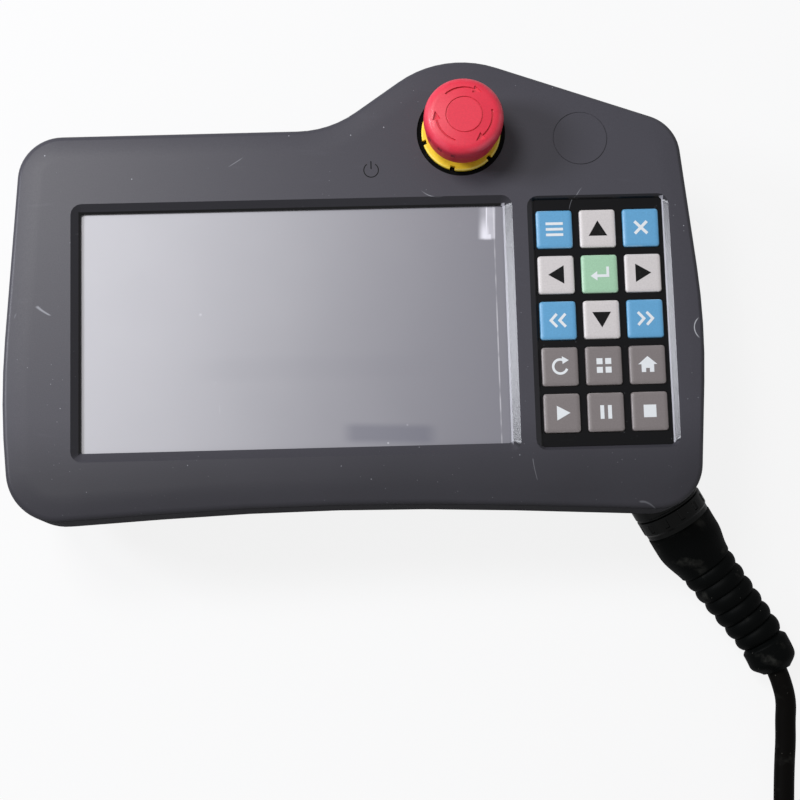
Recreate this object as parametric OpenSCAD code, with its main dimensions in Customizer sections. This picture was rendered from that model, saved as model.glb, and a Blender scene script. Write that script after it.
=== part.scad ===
// Hand-held teach pendant with a seven inch touch screen, fifteen keys, an emergency stop,
// a three-position enabling switch, a hand strap and its cable.
// It lies on its back: +X runs to the right of the screen, +Y to its top and +Z out of the front face.
// The origin is under the middle of the housing, on the surface that the feet stand on. Millimetres.

/* [Housing] */
// Margin left of the screen
margin_left = 28.55; // [28:0.25:32]
// Margin right of the keypad
margin_right = 13.3; // [13:0.1:15]
// Margin below the screen
margin_below = 25.35; // [25:0.25:28]
// Margin from the top of the screen to the top edge
margin_above = 29.65; // [29:0.25:32]
// How far the switch shoulder rises above the top edge
shoulder_rise = 26; // [24:0.5:28]
// Depth from the feet to the front face
body_d = 60; // [59:0.5:63]
// Depth of the front shell, down to the seam
front_d = 22; // [21:0.25:23]
// Wall thickness of both shells
wall = 2.5; // [2.2:0.1:2.8]
// Rounding of the corners in plan
corner_r = 17; // [15:0.5:19]
// Rounding of the front edge
edge_r = 2; // [1.5:0.1:2.5]
// Fall of the front face towards its edge
face_fall = 0.6; // [0.3:0.1:0.9]
// Rise of the arch in the lower edge
arch_rise = 6; // [4:0.5:8]

/* [Grips] */
// How far the two grips stand off the rear face
grip_drop = 19.5; // [18:0.5:20]
// Width of the hand grip
grip_w = 60; // [58:0.5:62]
// Length of the hand grip
grip_l = 108; // [104:1:110]
// Depth of the palm hollow in the hand grip
palm_depth = 17; // [14:0.5:17.5]
// Width of the cable compartment
bay_w = 57; // [55:0.5:58]
// Length of the cable compartment
bay_l = 102; // [98:1:104]
// Width of the hand strap
strap_w = 30; // [26:1:31]
// Thickness of the hand strap's padding
pad_t = 4; // [3:0.25:5]
// Diameter of a rubber foot
foot_d = 14; // [12:0.5:15]

/* [Screen] */
// Width of the visible screen
screen_w = 156; // [152:0.5:158]
// Height of the visible screen
screen_h = 89; // [86:0.5:91]
// Width of the bevel round the screen
screen_bevel = 3.4; // [2.5:0.1:4]
// Distance from the screen to the keypad
screen_to_pad = 11.25; // [11:0.25:14]
// Border of the display module beside the screen
lcd_border_x = 4.5; // [3.5:0.25:5]
// Border of the display module above and below the screen
lcd_border_y = 5.5; // [4:0.25:6]
// Thickness of the display module
lcd_t = 5.7; // [5:0.1:6.5]

/* [Keypad] */
// Key width
key_w = 13.4; // [12.5:0.1:13.7]
// Key height
key_h = 14.4; // [13.5:0.1:14.7]
// Gap between two columns of keys
key_gap_x = 2.64; // [2.4:0.02:3]
// Gap between two rows of keys
key_gap_y = 2.77; // [2.4:0.02:3]
// Black edge left and right of the keys
pad_edge_x = 1.21; // [1.1:0.05:1.6]
// Black edge above and below the keys
pad_edge_y = 4.71; // [4.5:0.05:5]
// Travel of a key
key_travel = 0.6; // [0.4:0.05:0.7]

/* [Emergency stop] */
// Diameter of the mushroom head
head_d = 29; // [27:0.5:31]
// Height of the head's top above the front face
head_rise = 22; // [20.5:0.5:24]
// Diameter of the yellow collar
collar_d = 29.4; // [28:0.2:31]
// Diameter of the collar's recess in the front shell
recess_d = 33; // [32:0.5:34]
// Travel of the head when it is pushed
stop_travel = 4; // [3:0.25:4.5]

/* [Enabling switch] */
// Length of the enabling button
enable_l = 40; // [34:1:44]
// Height of the enabling button
enable_h = 9; // [8:0.25:9.5]
// Travel of the enabling button through its three positions
enable_travel = 3; // [2:0.25:3.5]

/* [Cable] */
// Diameter of the gland's collar
gland_d = 26.7; // [25:0.1:27]
// Length of the gland's collar
gland_l = 13; // [11:0.5:14]
// How steeply the gland points down, in degrees
gland_dip = 13; // [11:0.5:14]
// Length of the strain relief boot
boot_l = 69; // [66:0.5:71]
// Diameter of the cable
cable_d = 8; // [7.5:0.1:8.2]

/* [Hidden] */

// ---- clearances and small common sizes ----
slide_gap = 0.2;      // round a part that slides in an opening
seat_gap = 0.15;      // between a moving part and the stop it rests on
running_gap = 0.05;   // radial, round a shaft that turns or slides in its hole
seam = 0.4;           // chamfer of the two shells at their seam
screw_d = 3;
screw_hole_d = 3.3;
screw_head_d = 5.6;
screw_head_h = 2.2;
post_d = 7;
board_t = 1.6;

// ---- levels ----
z_face = body_d;
z_seam = z_face - front_d;
foot_h = 3.5;                           // how far a foot holds the grips off the ground
z_grip = foot_h;
z_back = z_grip + grip_drop;
z_inside = z_face - wall;               // inner side of the front wall

// ---- sizes that follow from the screen and the keys ----
lcd_w = screen_w + 2 * lcd_border_x;
lcd_h = screen_h + 2 * lcd_border_y;
pitch_x = key_w + key_gap_x;
pitch_y = key_h + key_gap_y;
pad_w = 3 * key_w + 2 * key_gap_x + 2 * pad_edge_x;
pad_h = 5 * key_h + 4 * key_gap_y + 2 * pad_edge_y;
pad_low = 23.4;                         // from the lower edge to the keypad
pad_high = 28.1;                        // from the keypad to the level of the top edge
body_w = margin_left + screen_w + screen_to_pad + pad_w + margin_right;
body_h = max(margin_below + screen_h + margin_above, pad_low + pad_h + pad_high) + shoulder_rise;

// ---- outline of the housing ----
half_w = body_w / 2;
half_h = body_h / 2;
y_top = half_h - shoulder_rise;
shoulder_x = half_w - 92.7;             // where the two slopes of the shoulder would meet
slope_in = 35.3;                        // angle of the shoulder's inner slope
slope_out = 19.5;                       // angle of the shoulder's outer slope
shoulder_r = 40.5;
peak_y = half_h + shoulder_r * (1 / cos((slope_in + slope_out) / 2)
  * cos((slope_in - slope_out) / 2) - 1);
throat_x = shoulder_x - (peak_y - y_top) / tan(slope_in);
right_x = half_w - 6.2;                 // the upper right corner leans in by this much
BODY = [
  [-half_w + 3.3, -half_h - 0.1, corner_r + 2],
  [-7.7, -half_h + arch_rise, 1290],
  [half_w - 4.3, -half_h - 0.85, corner_r],
  [half_w + 0.87, -17.2, 260],
  [right_x, peak_y - (right_x - shoulder_x) * tan(slope_out), corner_r - 1],
  [shoulder_x, peak_y, shoulder_r],
  [throat_x, y_top + 0.5, 38],
  [-half_w + 6.4, y_top, corner_r - 0.5],
  [-half_w - 0.77, -41.2, 300]];

// Angle from one direction to another, anticlockwise positive
function turn_between(u, v) = atan2(u[0] * v[1] - u[1] * v[0], u * v);
function unit(v) = v / norm(v);

// Points of one rounded corner of an anticlockwise outline that is moved in by inset
function rounded_corner(before, at, after, r, inset, step) =
  let (u = unit(at - before), v = unit(after - at), turn = turn_between(u, v), side = sign(turn),
    start = at - u * r * tan(abs(turn) / 2), centre = start + side * r * [-u[1], u[0]],
    first = atan2(u[1], u[0]) - side * 90, steps = max(4, ceil(abs(turn) / step)))
  [for (i = [0 : steps]) let (a = first + turn * i / steps)
    centre + (r - side * inset) * [cos(a), sin(a)]];

// Outline through [x, y, rounding] corners, moved in by inset
function outline(corners, inset = 0, step = 6) =
  let (n = len(corners), xy = [for (c = corners) [c[0], c[1]]])
  [for (i = [0 : n - 1])
    each rounded_corner(xy[(i + n - 1) % n], xy[i], xy[(i + 1) % n], corners[i][2], inset, step)];

// Outline of a rectangle about [x, y] with rounded corners
function rounded_rect(w, h, r, x = 0, y = 0, steps = 4) =
  [for (q = [0 : 3], i = [0 : steps]) let (a = 180 + q * 90 + i * 90 / steps)
    [x + (q == 0 || q == 3 ? r - w / 2 : w / 2 - r) + r * cos(a),
     y + (q < 2 ? r - h / 2 : h / 2 - r) + r * sin(a)]];

function at_height(points, z) = [for (p = points) [p[0], p[1], z]];

// Closed skin over rings of equally many points, the lowest ring first
module skin(rings) {
  n = len(rings[0]);
  last = (len(rings) - 1) * n;
  polyhedron(points = [for (ring = rings) each ring], faces = concat(
    [[for (i = [0 : n - 1]) i]],
    [for (k = [0 : len(rings) - 2], i = [0 : n - 1]) let (a = k * n + i, b = k * n + (i + 1) % n)
      each [[a, a + n, b + n], [a, b + n, b]]],
    [[for (i = [n - 1 : -1 : 0]) last + i]]));
}

// Skin over one outline at several [height, inset] levels
module moulded(corners, levels, step = 6) {
  skin([for (s = levels) at_height(outline(corners, s[1], step), s[0])]);
}

// A wall that follows the outline between two insets
module rim(corners, outer, inner, z, h, step = 6) {
  translate([0, 0, z]) linear_extrude(h) difference() {
    polygon(outline(corners, outer, step));
    polygon(outline(corners, inner, step));
  }
}

module slab(w, h, r, x, y, z, t) {
  translate([0, 0, z]) linear_extrude(t) polygon(rounded_rect(w, h, r, x, y));
}

// Upright cylinder about [x, y] that starts at z
module disc(at, z, h, d, sides = 64) {
  translate([at[0], at[1], z]) cylinder(h = h, d = d, $fn = sides);
}

// ---- places on the front ----
screen_at = [-half_w + margin_left + screen_w / 2, -half_h + margin_below + screen_h / 2];
pad_at = [half_w - margin_right - pad_w / 2, -half_h + pad_low + pad_h / 2];
keys_at = pad_at + [-0.43, 0.38];       // the keys sit a little to the upper left in their plate
estop_at = [shoulder_x + 5.6, half_h - 28.1];
knockout_at = [half_w - 42.75, half_h - 31.15];
knockout_d = 20.4;

// ---- screen ----
bevel_depth = 1.9;
gasket_t = 0.4;
touch_t = 1.8;
z_touch = z_inside - gasket_t;
z_lcd = z_touch - touch_t;
z_bracket = z_lcd - lcd_t;
bracket_t = 1.2;
spacer_h = 5;
z_board = z_bracket - bracket_t - spacer_h;
frame_posts = [for (sx = [-1, 1], sy = [-1, 1])
  screen_at + [sx * (lcd_w / 2 - 12.5), sy * (lcd_h / 2 + 5)]];

// ---- keypad ----
pad_bevel = [2.4, 1.2];
pad_depth = 1.5;
plate_t = 1.5;
z_plate = z_face - pad_depth - plate_t;
ledge = 3.5;                            // the plate lies on a ledge at its two ends
rim_t = 2;
flange = 0.6;                           // how far a key's flange stands out of the key
flange_t = 0.8;
z_flange = z_plate - seat_gap - flange_t;
dome_h = 1;
mat_t = 1;
z_mat = z_flange - key_travel - slide_gap - dome_h - mat_t;
z_keypad_board = z_mat - board_t;
key_top = z_face - 0.5;
key_r = 1.1;
KEYS = [for (row = [0 : 4], column = [0 : 2])
  keys_at + [(column - 1) * pitch_x, (2 - row) * pitch_y]];

// ---- emergency stop ----
recess_depth = 1.5;
z_recess = z_face - recess_depth;
seal_t = 0.8;
z_collar = z_recess + seal_t;
z_collar_top = z_face + 1;
pad_under = 2;                          // the front wall is this much thicker round the stop
z_pad = z_inside - pad_under;
barrel_d = 16;
plunger_d = 8;
neck_d = 6;
nut_t = 4;
z_barrel = z_pad - nut_t - 9;
block_w = 22;
z_block = z_back + wall + 2;
z_head = z_collar_top + stop_travel + 0.8;
z_head_top = z_face + head_rise;

// ---- grips ----
draft = 8;                              // the grips' sides lean by this angle
grip_r = 3;                             // rounding of the grips' rear edges
grip_x = grip_w - half_w + 6.5;         // right side of the hand grip
grip_y = -half_h + 19;                  // lower end of the hand grip
GRIP = [
  [grip_x - grip_w, grip_y, 14],
  [grip_x, grip_y, 12],
  [grip_x, grip_y + grip_l, 12],
  [grip_x - grip_w + 2.7, grip_y + grip_l, 14]];
bay_x = half_w - bay_w - 7.5;           // left side of the cable compartment
bay_y = -half_h + 5;                    // lower end of the cable compartment
BAY = [
  [bay_x, bay_y, 12],
  [bay_x + bay_w - 3, bay_y - 0.5, 16],
  [bay_x + bay_w, bay_y + bay_l, 13],
  [bay_x, bay_y + bay_l, 12]];

// A grip's skin, from its rounded rear face up into the rear wall
module grip_skin(corners) {
  levels = [for (a = [90 : -30 : 0]) let (up = grip_r * (1 - sin(a)))
    [z_grip + up, grip_r * (1 - cos(a)) + (grip_drop - up) * tan(draft)]];
  moulded(corners, concat(levels, [[z_back, 0], [z_back + wall / 2, 0]]), 9);
}

strap_x = grip_x - grip_w / 2 - 8;
strap_y = grip_y + grip_l / 2;
ridge_x = strap_x + strap_w / 2 + 0.6;  // the ridge with the enabling switch starts here
palm_half = 37;                         // half the length of the palm hollow
palm_r = (palm_half * palm_half + palm_depth * palm_depth) / (2 * palm_depth);
pin_d = 4;
pin_gap = 0.3;
pin_y = palm_half + 3;
pin_z = z_grip + 5;
strap_sag = 4.2;                        // the strap's middle hangs this far below its pins

enable_y = strap_y;
enable_z = z_grip + grip_drop / 2;
bezel_l = enable_l + 7;
bezel_h = enable_h + 4;
bezel_t = 2;
bezel_face = 0.6;                       // how far the bezel stands out of the ridge
enable_out = 4;                         // how far the button stands out of its bezel
x_bezel = grip_x - (z_back - enable_z) * tan(draft) + bezel_face;
x_switch = x_bezel - bezel_t - enable_travel - 1.5;
switch_t = 6;

feet = [[grip_x - 14, grip_y + 12], [grip_x - 14, grip_y + grip_l - 12],
  [bay_x + 11, bay_y + 12], [bay_x + bay_w - 15, bay_y + bay_l - 10]];
foot_seat = 1;                          // a foot is set this deep in its grip

cover_at = [bay_x + bay_w / 2 - 1, bay_y + bay_l / 2 + 1];
cover_w = 42;
cover_l = 56;
cover_t = 2;
cover_proud = 0.5;                      // how far the cover stands out of the compartment
cover_screws_at = [for (sx = [-1, 1], sy = [-1, 1])
  cover_at + [sx * (cover_w / 2 - 4), sy * (cover_l / 2 - 4)]];
cover_screw_d = 2.5;
cover_head_d = 4.6;
cover_head_h = 1.4;
cover_screw_l = 6;

// ---- case screws ----
head_seat = z_back + 3;                 // where the case screws' heads rest
screw_l = 16;
case_screws_at = [[-half_w + 17.5, half_h - 37], [-40, y_top - 7], [shoulder_x - 27.8, half_h - 25],
  [half_w - 15.5, half_h - 41], [-half_w + 17.5, -half_h + 12], [half_w - 71.5, -half_h + 11]];

// ---- gland, at the lower right corner ----
lid = 2;                                // thickness left over the gland at the seam
lid_gap = 0.4;                          // between that and the gland
gland_turn = -59;                       // direction of the gland in plan
gland_at = [half_w - 12.82, -half_h + 8.66];
gland_z = z_seam - lid - (gland_d / 2 + lid_gap) * cos(gland_dip);
nose_d = gland_d + 0.9;
thread_d = 16;
thread_l = 9;
nut_d = 21;
nut_back = 3;                           // thickness of the wall between gland and nut
gland_bore = 9;

function heading(turn, dip) = [cos(dip) * cos(turn), cos(dip) * sin(turn), -sin(dip)];

// Places its children on the gland's axis, with their +Z along the cable
module at_gland(along = 0) {
  translate([gland_at[0], gland_at[1], gland_z]) rotate([0, 0, gland_turn])
    rotate([0, 90 + gland_dip, 0]) translate([0, 0, along]) children();
}

// Everything on the cable's side of the gland's seat, up to a height above the axis
module beyond_gland(back, height) {
  side = 2.25 * gland_d;
  at_gland() translate([-height, -side / 2, -back]) cube([height + side, side, side]);
}

// ---- boot and cable ----
// The boot leaves along the gland's axis and bends level, with the cable's pull at its end
boot_turns = [[0, gland_turn], [4, gland_turn], [16, -53.5], [50, -54], [boot_l, -72]];
boot_dips = [[0, gland_dip], [4, gland_dip], [boot_l, 2]];
function boot_heading(t) = heading(lookup(t, boot_turns), lookup(t, boot_dips));

// Points of the boot's centre line at the given distances from the end of the gland
function boot_line(ts) = let (last = len(ts) - 1)
  [for (i = 0, p = concat(gland_at, gland_z) + (gland_l + ts[0]) * boot_heading(0); i <= last;
    p = p + (ts[min(i + 1, last)] - ts[i]) * boot_heading((ts[i] + ts[min(i + 1, last)]) / 2), i = i + 1) p];

boot_end = boot_line([for (t = [0 : 0.02 : 1]) t * boot_l])[50];
cable_r = cable_d / 2;
// The cable runs down to the ground and to the lowest turn of the coil
coil_mean_d = 11 * cable_d;
coil_columns = 3;
coil_layers = 4;
coil_at = [gland_at[0] - 7.68, gland_at[1] - 183.66];
lane = coil_at[0] + coil_mean_d / 2 + cable_d;   // where the cable lies beside the coil
RUN = concat([boot_end, boot_end + 5 * boot_heading(boot_l), boot_end + [3, -11.5, -1.3]],
  [for (p = [[2, 96, 7.6], [1.9, 89, 6.4], [1.3, 81, 5.4], [0.7, 72, 4.6], [0.2, 62, 4.1], [0, 52, cable_r],
    [0, 42, cable_r], [0, 32, cable_r], [0, 22, cable_r], [0, 13, cable_r], [0, 6, cable_r], [0, 0, cable_r]])
    [lane + p[0], coil_at[1] + p[1], p[2]]]);
// The cable's end, from the coil's top to the connector
TAIL = [for (p = [[0, 28], [10, 28], [20, 28], [30, 27.6], [40, 26], [50, 22.8], [60, 18.6], [69, 15],
  [77, 13], [85, 13]]) [coil_at[0] - p[0], coil_at[1] - coil_mean_d / 2, p[1]]];
tie_w = 12;
tie_t = 1.2;
tie_turn = 135;

// ---- connector ----
hood_l = 46;
hood_w = 34;
hood_h = 26;
hood_collar_l = 9;
hood_collar_d = 17;
hood_at = TAIL[len(TAIL) - 1];
insert_l = 5;

// ==== housing ====

// Cut with sloping sides into the front face, and the straight opening under it
module bevelled_opening(w, h, at, bevel, depth, through, r) {
  over = 0.5;
  grow = bevel * (over / depth);
  skin([
    at_height(rounded_rect(w, h, r, at[0], at[1]), z_face - depth),
    at_height(rounded_rect(w + 2 * bevel[0], h + 2 * bevel[1], r + 3, at[0], at[1]), z_face),
    at_height(rounded_rect(w + 2 * (bevel[0] + grow[0]), h + 2 * (bevel[1] + grow[1]), r + 3,
      at[0], at[1]), z_face + over)]);
  slab(w, h, r, at[0], at[1], z_face - depth - through, through + 0.01);
}

module front_housing() {
  face = [for (s = [1 : -0.5 : 0]) [z_face - face_fall * s * s, edge_r + 8 * (1 - s)]];
  edge = [for (a = [0 : 22.5 : 67.5])
    [z_face - face_fall - edge_r * (1 - sin(a)), edge_r * (1 - cos(a))]];
  color("dimgray") difference() {
    union() {
      difference() {
        moulded(BODY, concat([[z_seam, seam], [z_seam + seam, 0]], edge, face));
        translate([0, 0, z_seam - 1]) linear_extrude(z_inside - z_seam + 1)
          polygon(outline(BODY, wall));
      }
      slab(pad_w + 2 * rim_t, pad_h + 2 * rim_t, 2, pad_at[0], pad_at[1], z_mat + mat_t,
        z_inside - z_mat - mat_t + 0.1);
      disc(estop_at, z_pad, pad_under + 0.1, recess_d + 4);
      for (p = case_screws_at) disc(p, z_seam, front_d - wall + 0.1, post_d);
      for (p = frame_posts) disc(p, z_bracket, z_inside - z_bracket + 0.1, post_d);
    }
    bevelled_opening(screen_w, screen_h, screen_at, [screen_bevel, screen_bevel], bevel_depth, wall, 1);
    bevelled_opening(pad_w, pad_h, pad_at, pad_bevel, pad_depth, plate_t, 1);
    slab(pad_w, pad_h - 2 * ledge, 1, pad_at[0], pad_at[1], z_mat, z_plate - z_mat + 0.01);
    disc(estop_at, z_recess, wall, recess_d);
    disc(estop_at, z_pad - 1, wall + pad_under, barrel_d + slide_gap);
    difference() {
      disc(knockout_at, z_face - 0.3, 1, knockout_d);
      disc(knockout_at, z_face - 1.3, 3, knockout_d - 0.7);
    }
    for (p = case_screws_at) disc(p, z_seam - 1, 1 + screw_l, screw_hole_d);
    for (p = frame_posts) disc(p, z_bracket - 1, 7, screw_hole_d);
  }
}

module rear_housing() {
  rear_r = 3;
  lean = 1;
  open_height = 40;
  back = [for (a = [90 : -30 : 0]) [z_back + rear_r * (1 - sin(a)), lean + rear_r * (1 - cos(a))]];
  color("dimgray") difference() {
    union() {
      difference() {
        union() {
          moulded(BODY, concat(back, [[z_seam - seam, 0], [z_seam, seam]]));
          grip_skin(GRIP);
          grip_skin(BAY);
          intersection() {
            at_gland(-18) cylinder(h = 18, d = nose_d, $fn = 64);
            translate([0, -body_h, 0]) cube([body_w, body_h, z_seam - lid]);
          }
        }
        difference() {
          union() {
            translate([0, 0, z_back + wall]) linear_extrude(body_d) polygon(outline(BODY, lean + wall));
            translate([0, 0, z_grip + wall]) linear_extrude(grip_drop + 0.1)
              polygon(outline(BAY, wall + grip_drop * tan(draft), 9));
            at_gland(-30) cylinder(h = 30 - nut_back, d = nut_d + 1.4, $fn = 64);
          }
          beyond_gland(nut_back, open_height);
        }
        beyond_gland(0, gland_d / 2 + lid_gap);
      }
      for (p = case_screws_at) disc(p, z_back + 1, z_seam - z_back - 1, post_d + 1);
      for (p = cover_screws_at) disc(p, z_grip + wall - 0.5, cover_screw_l, post_d - 1);
    }
    for (p = case_screws_at) {
      disc(p, z_back - 1, z_seam - z_back + 2, screw_hole_d);
      disc(p, z_back - 1, head_seat - z_back + 1, screw_head_d + 1);
    }
    // groove for the gasket in the seam
    rim(BODY, wall / 2 - 0.5, wall / 2 + 0.5, z_seam - 1, 2);
    at_gland(-10) cylinder(h = 20, d = thread_d + slide_gap, $fn = 64);
    // palm hollow, closed by the ridge that holds the enabling switch
    translate([ridge_x - grip_w, strap_y, z_grip + palm_depth - palm_r]) rotate([0, 90, 0])
      cylinder(h = grip_w, r = palm_r, $fn = 96);
    // pockets and pins of the strap
    for (side = [-1, 1]) {
      translate([strap_x - strap_w / 2 - 0.6, strap_y + side * (pin_y - 3.5) - 8.5, z_grip - 1])
        cube([strap_w + 1.2, 17, 11]);
      translate([strap_x - strap_w / 2 - 2, strap_y + side * pin_y, pin_z]) rotate([0, 90, 0])
        cylinder(h = strap_w + 4, d = pin_d, $fn = 32);
    }
    // enabling switch: bezel seat, button opening and room for the switch
    translate([x_bezel - bezel_t, enable_y - bezel_l / 2 - 0.1, enable_z - bezel_h / 2 - 0.1])
      cube([10, bezel_l + 0.2, bezel_h + 0.2]);
    translate([x_switch - switch_t - 0.1, enable_y - bezel_l / 2 + 1.5, enable_z - bezel_h / 2 + 1])
      cube([30, bezel_l - 3, bezel_h - 2]);
    translate([ridge_x + wall, enable_y - bezel_l / 2 + 1.5, enable_z - bezel_h / 2 + 1])
      cube([grip_x - 6 - ridge_x - wall, bezel_l - 3, grip_drop]);
    // seats of the cover and the feet
    slab(cover_w + 0.4, cover_l + 0.4, 3.2, cover_at[0], cover_at[1], z_grip - 1, cover_t - cover_proud + 1);
    slab(cover_w - 4, cover_l - 16, 3, cover_at[0], cover_at[1], z_grip, wall + 1);
    for (p = cover_screws_at) disc(p, z_grip, cover_screw_l + 1, cover_screw_d + 0.2);
    for (p = feet) disc(p, z_grip - 1, foot_seat + 1, foot_d + slide_gap);
  }
}

module housing_gasket() {
  color("black") rim(BODY, wall / 2 - 0.45, wall / 2 + 0.45, z_seam - 1, 1);
}

// ==== screen ====

module screen_gasket() {
  color("black") translate([0, 0, z_touch]) linear_extrude(gasket_t) difference() {
    polygon(rounded_rect(lcd_w - 1, lcd_h - 3, 1, screen_at[0], screen_at[1]));
    polygon(rounded_rect(screen_w + 0.6, screen_h + 0.6, 1, screen_at[0], screen_at[1]));
  }
}

module touch_panel() {
  color("silver") slab(lcd_w, lcd_h - 2, 1, screen_at[0], screen_at[1], z_lcd, touch_t);
}

module lcd_module() {
  color("lightgray") slab(lcd_w, lcd_h, 1, screen_at[0], screen_at[1], z_bracket, lcd_t);
}

// Slab centred on the screen
module on_screen(w, h, z, t, r = 3) {
  slab(w, h, r, screen_at[0], screen_at[1], z, t);
}

// Sheet frame that holds the display, with four ears under the posts
module lcd_bracket() {
  color("silver") difference() {
    union() {
      on_screen(lcd_w - 25 + post_d, lcd_h + 10 + post_d, z_bracket - bracket_t, bracket_t);
      on_screen(lcd_w, lcd_h - 20, z_bracket - bracket_t, bracket_t);
    }
    for (sx = [-1, 1]) translate([sx * (lcd_w / 4 - 5), 0, 0])
      on_screen(lcd_w / 2 - 30, lcd_h - 30, z_bracket - bracket_t - 1, bracket_t + 2);
    for (p = frame_posts) disc(p, z_bracket - bracket_t - 1, 4, screw_hole_d);
  }
}

module board_spacers() {
  color("goldenrod") for (p = frame_posts) translate([p[0], p[1], z_board]) difference() {
    cylinder(h = spacer_h, d = 6, $fn = 6);
    translate([0, 0, -1]) cylinder(h = spacer_h + 2, d = screw_hole_d, $fn = 24);
  }
}

module main_board() {
  w = lcd_w - 23 + post_d;
  h = lcd_h + 11 + post_d;
  // centre and size of each chip as shares of the board, and its height in board thicknesses
  chips = [[-0.27, 0.085, 0.15, 0.185, 1.5], [-0.035, 0.15, 0.095, 0.15, 0.9],
    [-0.035, -0.07, 0.095, 0.15, 0.9], [0.235, 0, 0.175, 0.135, 1.9],
    [-0.3, -0.255, 0.2, 0.1, 3.75], [0.065, -0.305, 0.27, 0.075, 3.1]];
  color("darkgreen") difference() {
    union() {
      on_screen(w, h, z_board - board_t, board_t);
      for (c = chips)
        translate([screen_at[0] + (c[0] - c[2] / 2) * w, screen_at[1] + (c[1] - c[3] / 2) * h,
          z_board - (1 + c[4]) * board_t]) cube([c[2] * w, c[3] * h, c[4] * board_t]);
    }
    for (p = frame_posts) disc(p, z_board - board_t - 1, 4, screw_hole_d);
  }
}

// Pan head screw with its head's rear face at z and its shank upwards
module screw(x, y, z, length, head_d, head_h, shank_d) {
  translate([x, y, z]) difference() {
    union() {
      cylinder(h = head_h, d = head_d, $fn = 32);
      cylinder(h = head_h + length, d = shank_d, $fn = 24);
    }
    translate([0, 0, -1]) cylinder(h = 1 + head_h * 0.6, d = head_d * 0.42, $fn = 6);
  }
}

// Screws through the main board, the spacers and the sheet frame into the posts
module board_screws() {
  color("silver") for (p = frame_posts)
    screw(p[0], p[1], z_board - board_t - screw_head_h, board_t + spacer_h + bracket_t + 5, screw_head_d,
      screw_head_h, screw_d);
}

// ==== keypad ====

module keypad_plate() {
  color([0.11, 0.11, 0.12]) translate([0, 0, z_plate]) linear_extrude(plate_t) difference() {
    polygon(rounded_rect(pad_w - slide_gap, pad_h - slide_gap, 0.9, pad_at[0], pad_at[1]));
    for (p = KEYS)
      polygon(rounded_rect(key_w + 2 * slide_gap, key_h + 2 * slide_gap, key_r + slide_gap, p[0], p[1], 3));
  }
}

// One key: a softly crowned cap over a flange that stops it under the plate
module key(index, shade) {
  p = KEYS[index];
  levels = [[z_flange + flange_t, 0], [key_top - 0.75, 0], [key_top - 0.35, 0.15], [key_top - 0.1, 0.55],
    [key_top, 1.6]];
  color(shade) {
    skin([for (s = levels) at_height(
      rounded_rect(key_w - 2 * s[1], key_h - 2 * s[1], max(0.4, key_r - s[1]), p[0], p[1], 3), s[0])]);
    slab(key_w + 2 * flange, key_h + 2 * flange, key_r, p[0], p[1], z_flange, flange_t);
  }
}

blue = [0.24, 0.53, 0.78];
pale = [0.78, 0.76, 0.75];
green = [0.42, 0.68, 0.50];
dark = [0.36, 0.34, 0.33];
module key_menu() { key(0, blue); }
module key_up() { key(1, pale); }
module key_escape() { key(2, blue); }
module key_left() { key(3, pale); }
module key_enter() { key(4, green); }
module key_right() { key(5, pale); }
module key_previous() { key(6, blue); }
module key_down() { key(7, pale); }
module key_next() { key(8, blue); }
module key_auto() { key(9, dark); }
module key_mode() { key(10, dark); }
module key_home() { key(11, dark); }
module key_run() { key(12, dark); }
module key_pause() { key(13, dark); }
module key_stop() { key(14, dark); }

// Rubber mat with a dome under each key
module key_dome_mat() {
  color("gray") {
    slab(pad_w + rim_t, pad_h + rim_t, 2, pad_at[0], pad_at[1], z_mat, mat_t);
    for (p = KEYS)
      translate([p[0], p[1], z_mat + mat_t]) cylinder(h = dome_h, d1 = 8, d2 = 5, $fn = 24);
  }
}

module keypad_board() {
  color("darkgreen") slab(pad_w + rim_t, pad_h + rim_t, 2, pad_at[0], pad_at[1], z_keypad_board, board_t);
}

// ==== emergency stop ====

// Arc groove with an arrow head at its clockwise end, in the top of the head
module turn_arrow(start) {
  arrow_r = 10.2;
  sweep = 62;
  line_w = 0.7;
  arrow_w = 3;
  rotate([0, 0, start - sweep]) {
    rotate_extrude(angle = sweep, $fn = 96) translate([arrow_r - line_w / 2, 0]) square([line_w, head_rise]);
    translate([arrow_r, 0, 0]) linear_extrude(head_rise)
      polygon([[-arrow_w / 2, 0.2], [arrow_w / 2, 0.2], [0, -arrow_w]]);
  }
}

module estop_head() {
  r = head_d / 2;
  skirt = r - 0.9;
  tip = z_head_top - z_head;
  dome = 3.5;
  arrow_depth = 1.15;
  side = [for (a = [0 : 15 : 90]) [r - dome + dome * cos(a), tip - dome - 0.5 + dome * sin(a)]];
  color([0.8, 0.11, 0.2]) translate([estop_at[0], estop_at[1], z_head]) difference() {
    rotate_extrude($fn = 96) polygon(concat([[0, 0], [skirt - 0.8, 0], [skirt, 0.8], [r - 0.3, tip - 8.5],
      [r, tip - 7]], side, [[6, tip], [0, tip]]));
    translate([0, 0, -1]) cylinder(h = 1 + 7, d = neck_d + 2 * running_gap, $fn = 48);
    translate([0, 0, tip - 0.5]) difference() {
      cylinder(h = 2, d = 13.6, $fn = 64);
      translate([0, 0, -1]) cylinder(h = 4, d = 12.8, $fn = 64);
    }
    for (i = [0 : 2]) translate([0, 0, tip - arrow_depth]) turn_arrow(130 - i * 120);
  }
}

module estop_plunger() {
  z_low = z_barrel - 2;
  color("dimgray") translate([estop_at[0], estop_at[1], 0]) {
    translate([0, 0, z_low]) cylinder(h = z_head - seat_gap - z_low, d = plunger_d, $fn = 48);
    translate([0, 0, z_low]) cylinder(h = z_head - z_low + 6.7, d = neck_d, $fn = 48);
  }
}

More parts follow.
